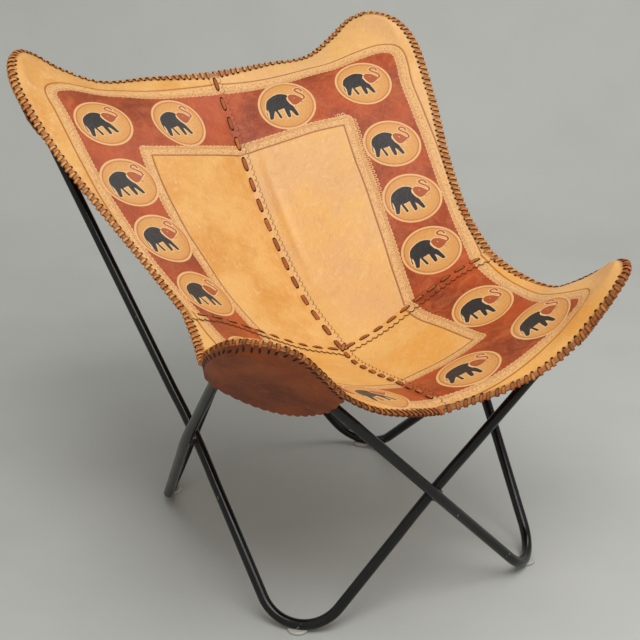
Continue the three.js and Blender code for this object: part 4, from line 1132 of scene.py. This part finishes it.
# Slit shadows: dark straps a little larger than the stitches, painted shadow in each slit and as a dark
# outline round each stitch.
SLIT_SHADOW_SIZE = {"long": {"Length": 31.0, "Width": 8.2, "Thickness": 0.4, "Dive": 0.2},
             "short": {"Length": 22.5, "Width": 7.2, "Thickness": 0.4, "Dive": 0.2}}
UNDER_STITCH_SIZE = {"Length": 17.0, "Width": 6.8, "Thickness": 2.2, "Dive": 3.0}
STRAP_STEPS = {"Vertices X": 11, "Vertices Y": 4, "Vertices Z": 2}
END_POWER = 5.0
END_TAPER = 0.6
FIRST_STITCH = 0.6
LAST_STITCH_GAP = 12.0
STITCH_OFFSET = 2.0
STITCH_PROUD = 0.9
SLIT_PROUD = 0.1
UNDER_PROUD = 0.7
UNDER_SHADE = 0.5
CROSSED_PLACES = np.array((4.0, 6.0))
CROSSED_LIFT = np.array(((0, 0, 1.0), (0, 0, 2.4)))
THONG_SHADES = (0.35, 0.7)
SHADE_SEED = 4
running_tree, given = stitch_tree("running_stitch", STITCH_SIZE["long"])
strap_size = add(running_tree, "CombineXYZ", (given["Length"], given["Width"], given["Thickness"]))
strap = add(running_tree, "GeometryNodeMeshCube", {"Size": strap_size, **STRAP_STEPS})
strap = with_side_shade(running_tree, given, strap)
end_share = share_of_half(running_tree, "X", given["Length"])
end_share = add(running_tree, "Math", (end_share, END_POWER), operation="POWER")
strap_place = add(running_tree, "GeometryNodeInputPosition")
strap_across = add(running_tree, "SeparateXYZ", (strap_place,), output="Y")
ends = add(running_tree, "CombineXYZ", {"Y": strap_across, "Z": given["Dive"]})
ends = add(running_tree, "VectorMath", (ends, (0, -END_TAPER, -1)), operation="MULTIPLY")
ends = add(running_tree, "VectorMath", {"Vector": ends, "Scale": end_share}, operation="SCALE")
strap = add(running_tree, "GeometryNodeSetPosition", {"Geometry": strap, "Offset": ends})
finish_stitches(running_tree, given, strap)

shades = np.random.default_rng(SHADE_SEED)
for group, names in STITCH_GROUPS.items():
    stitches, under_stitches = [], []
    for name in names:
        pitch, seam_length = STITCH_PITCH[name], seams[name][0][-1]
        spots = np.arange(pitch * FIRST_STITCH, seam_length - LAST_STITCH_GAP, pitch)
        point, way, across, up = seam_frames(seams[name], spots)
        stitches.append((point + STITCH_OFFSET * across + LAP_HIGH * up, way, up))
        point, way, across, up = seam_frames(seams[name], spots[:-1] + pitch / 2)
        sunk = LEATHER_THICKNESS / 2 + UNDER_PROUD
        under_stitches.append((point + STITCH_OFFSET * across - sunk * up, way, -up))
    if group == "short":
        point, way, across, up = seam_frames(seams["cross_right"], CROSSED_PLACES)
        crossed_ways = unit(np.stack((way[0] + across[0], way[1] - across[1])))
        stitches.append((point + LAP_HIGH * up + CROSSED_LIFT, crossed_ways, up))
    points, ways, facings = map(np.vstack, zip(*stitches))
    under_points, under_ways, under_facings = map(np.vstack, zip(*under_stitches))
    shade = shades.uniform(*THONG_SHADES, len(points))
    thong = stitched("seam_thong_" + group, running_tree, STITCH_SIZE[group], lace_leather,
                     points + STITCH_PROUD * facings, ways, facings, shade)
    slits = stitched("seam_slit_shadows_" + group, running_tree, SLIT_SHADOW_SIZE[group], awl_shadow,
                     points + SLIT_PROUD * facings, ways, facings, shade)
    under = stitched("seam_thong_{}_under".format(group), running_tree, UNDER_STITCH_SIZE, lace_leather,
                     under_points, under_ways, under_facings, np.full(len(under_points), UNDER_SHADE))
    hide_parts(*("seam_thong_" + name for name in names))
    for piece in (thong, slits, under):
        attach(piece, "root")

# The edge lacing: one soft strip whipped round the whole rim, through a row of awl holes, so that it
# binds the cut edges of the panels and holds the pockets on at the corners.
LACE_PITCH = 13.2
PITCH_SPREAD = 0.1
LACE_SLANT = np.radians(20)
SLANT_SPREAD = np.radians(8)
SLANT_TURN = 60.0
LACE_SIZE = {"Reach": 6.6, "Height": 3.4, "Width": 5.8, "Thickness": 1.7}
CORNER_LACE_SIZE = {"Reach": 6.8, "Height": 5.4, "Width": 6.0, "Thickness": 1.7}
CORNER_DROP = 1.6
LACE_INSET = 3.6
LACE_SHADES = (-0.2, 0.35)
FRONT_SHADE = 0.45
FRONT_START = 250.0
FRONT_BLEND = 120.0
HOLE_SIZE = {"Length": 8.0, "Width": 6.0}
POCKET_SLIT_SIZE = {"Length": 11.0, "Width": 3.6}
HOLE_PROUD = 0.4
HOLE_INSET = 10.2
HOLE_SHIFT = -2.4
POCKET_EDGE_REACH = 7.0
whip_tree, given = stitch_tree("whip_stitch", LACE_SIZE)
whip_path = add(whip_tree, "GeometryNodeCurvePrimitiveCircle", {"Resolution": 16, "Radius": 1.0})
whip_scale = add(whip_tree, "CombineXYZ", (given["Reach"], given["Height"], 1.0))
whip_path = add(whip_tree, "GeometryNodeTransform", {
    "Geometry": whip_path, "Scale": whip_scale, "Rotation": (np.pi / 2, 0, 0)})
whip_profile = add(whip_tree, "GeometryNodeCurvePrimitiveQuadrilateral", {
    "Width": given["Thickness"], "Height": given["Width"]})
whip_profile = add(whip_tree, "GeometryNodeSubdivideCurve", {"Curve": whip_profile, "Cuts": 2})
whip_profile = with_side_shade(whip_tree, given, whip_profile)
whip_loop = add(whip_tree, "GeometryNodeCurveToMesh", {"Curve": whip_path, "Profile Curve": whip_profile})
finish_stitches(whip_tree, given, whip_loop)

hole_tree, given = stitch_tree("awl_hole", HOLE_SIZE)
hole_size = add(hole_tree, "CombineXYZ", (given["Length"], given["Width"], 1.0))
hole = add(hole_tree, "GeometryNodeMeshCylinder", {
    "Vertices": 12, "Radius": 0.5, "Depth": 2 * HOLE_PROUD * MM})
hole = add(hole_tree, "GeometryNodeTransform", {"Geometry": hole, "Scale": hole_size})
finish_stitches(hole_tree, given, hole)


def round_rim(grids):
    """Values of the panels' grids along the rim: down the right side and back up the left one."""
    halves = []
    for side in SIDES:
        back, seat = grids["back", side], grids["seat", side]
        halves.append(np.vstack((back[0], back[1:, -1], seat[1:, -1], seat[-1, -2::-1])))
    return np.vstack((halves[0], halves[1][-2:0:-1], halves[0][:1]))


closed_points = round_rim(panel_grid)
rim_run = run_along(closed_points)
stitch_count = round(rim_run[-1] / LACE_PITCH)
spots = np.arange(stitch_count) + 0.5 + shades.uniform(-PITCH_SPREAD, PITCH_SPREAD, stitch_count)
spots = spots * rim_run[-1] / stitch_count
lace_points = read_along(spots, rim_run, closed_points)
rim_ways = unit(np.roll(lace_points, -1, axis=0) - np.roll(lace_points, 1, axis=0))
lace_facings = square_to(rim_ways, unit(read_along(spots, rim_run, round_rim(panel_normal))))
inwards = np.cross(rim_ways, lace_facings)
inwards = inwards * np.sign(np.mean(np.sum(inwards * (np.mean(lace_points, axis=0) - lace_points), axis=1)))
side_turn = np.clip(lace_points[:, :1] / SLANT_TURN, -1, 1)
slant = (LACE_SLANT + shades.uniform(-SLANT_SPREAD, SLANT_SPREAD, stitch_count)[:, None]) * side_turn
slanted = inwards * np.cos(slant) - rim_ways * np.sin(slant)
near_front = np.clip((-lace_points[:, 1] - FRONT_START) / FRONT_BLEND, 0, 1)
lace_shades = shades.uniform(*LACE_SHADES, stitch_count) + FRONT_SHADE * near_front
from_pocket, pocket_place = nearest_distances(np.vstack(laced_edges), lace_points)
at_pocket = from_pocket < POCKET_EDGE_REACH
on_rim = ~at_pocket
stitch_middles = lace_points + LACE_INSET * inwards
hole_points = lace_points + HOLE_INSET * inwards + HOLE_SHIFT * side_turn * rim_ways
hole_points = hole_points + LEATHER_THICKNESS / 2 * lace_facings
lacing = stitched("edge_lacing_whip_stitch", whip_tree, LACE_SIZE, lace_leather, stitch_middles[on_rim],
                  slanted[on_rim], lace_facings[on_rim], lace_shades[on_rim])
corner_lacing = stitched("edge_lacing_corners", whip_tree, CORNER_LACE_SIZE, lace_leather,
                         (stitch_middles - CORNER_DROP * lace_facings)[at_pocket], slanted[at_pocket],
                         lace_facings[at_pocket], lace_shades[at_pocket])
# The holes and the pocket slits are dark pieces of painted shadow.
holes = stitched("edge_lacing_hole_shadows", hole_tree, HOLE_SIZE, awl_shadow, hole_points, slanted, lace_facings,
                 lace_shades)
slits = stitched("edge_lacing_pocket_slit_shadows", hole_tree, POCKET_SLIT_SIZE, awl_shadow,
                 np.vstack(slit_points)[pocket_place[at_pocket]], slanted[at_pocket],
                 np.vstack(slit_facings)[pocket_place[at_pocket]], lace_shades[at_pocket])
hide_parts("edge_lacing_top", "edge_lacing_front", "edge_lacing_right", "edge_lacing_left")
for piece in (lacing, corner_lacing, holes, slits):
    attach(piece, "root")
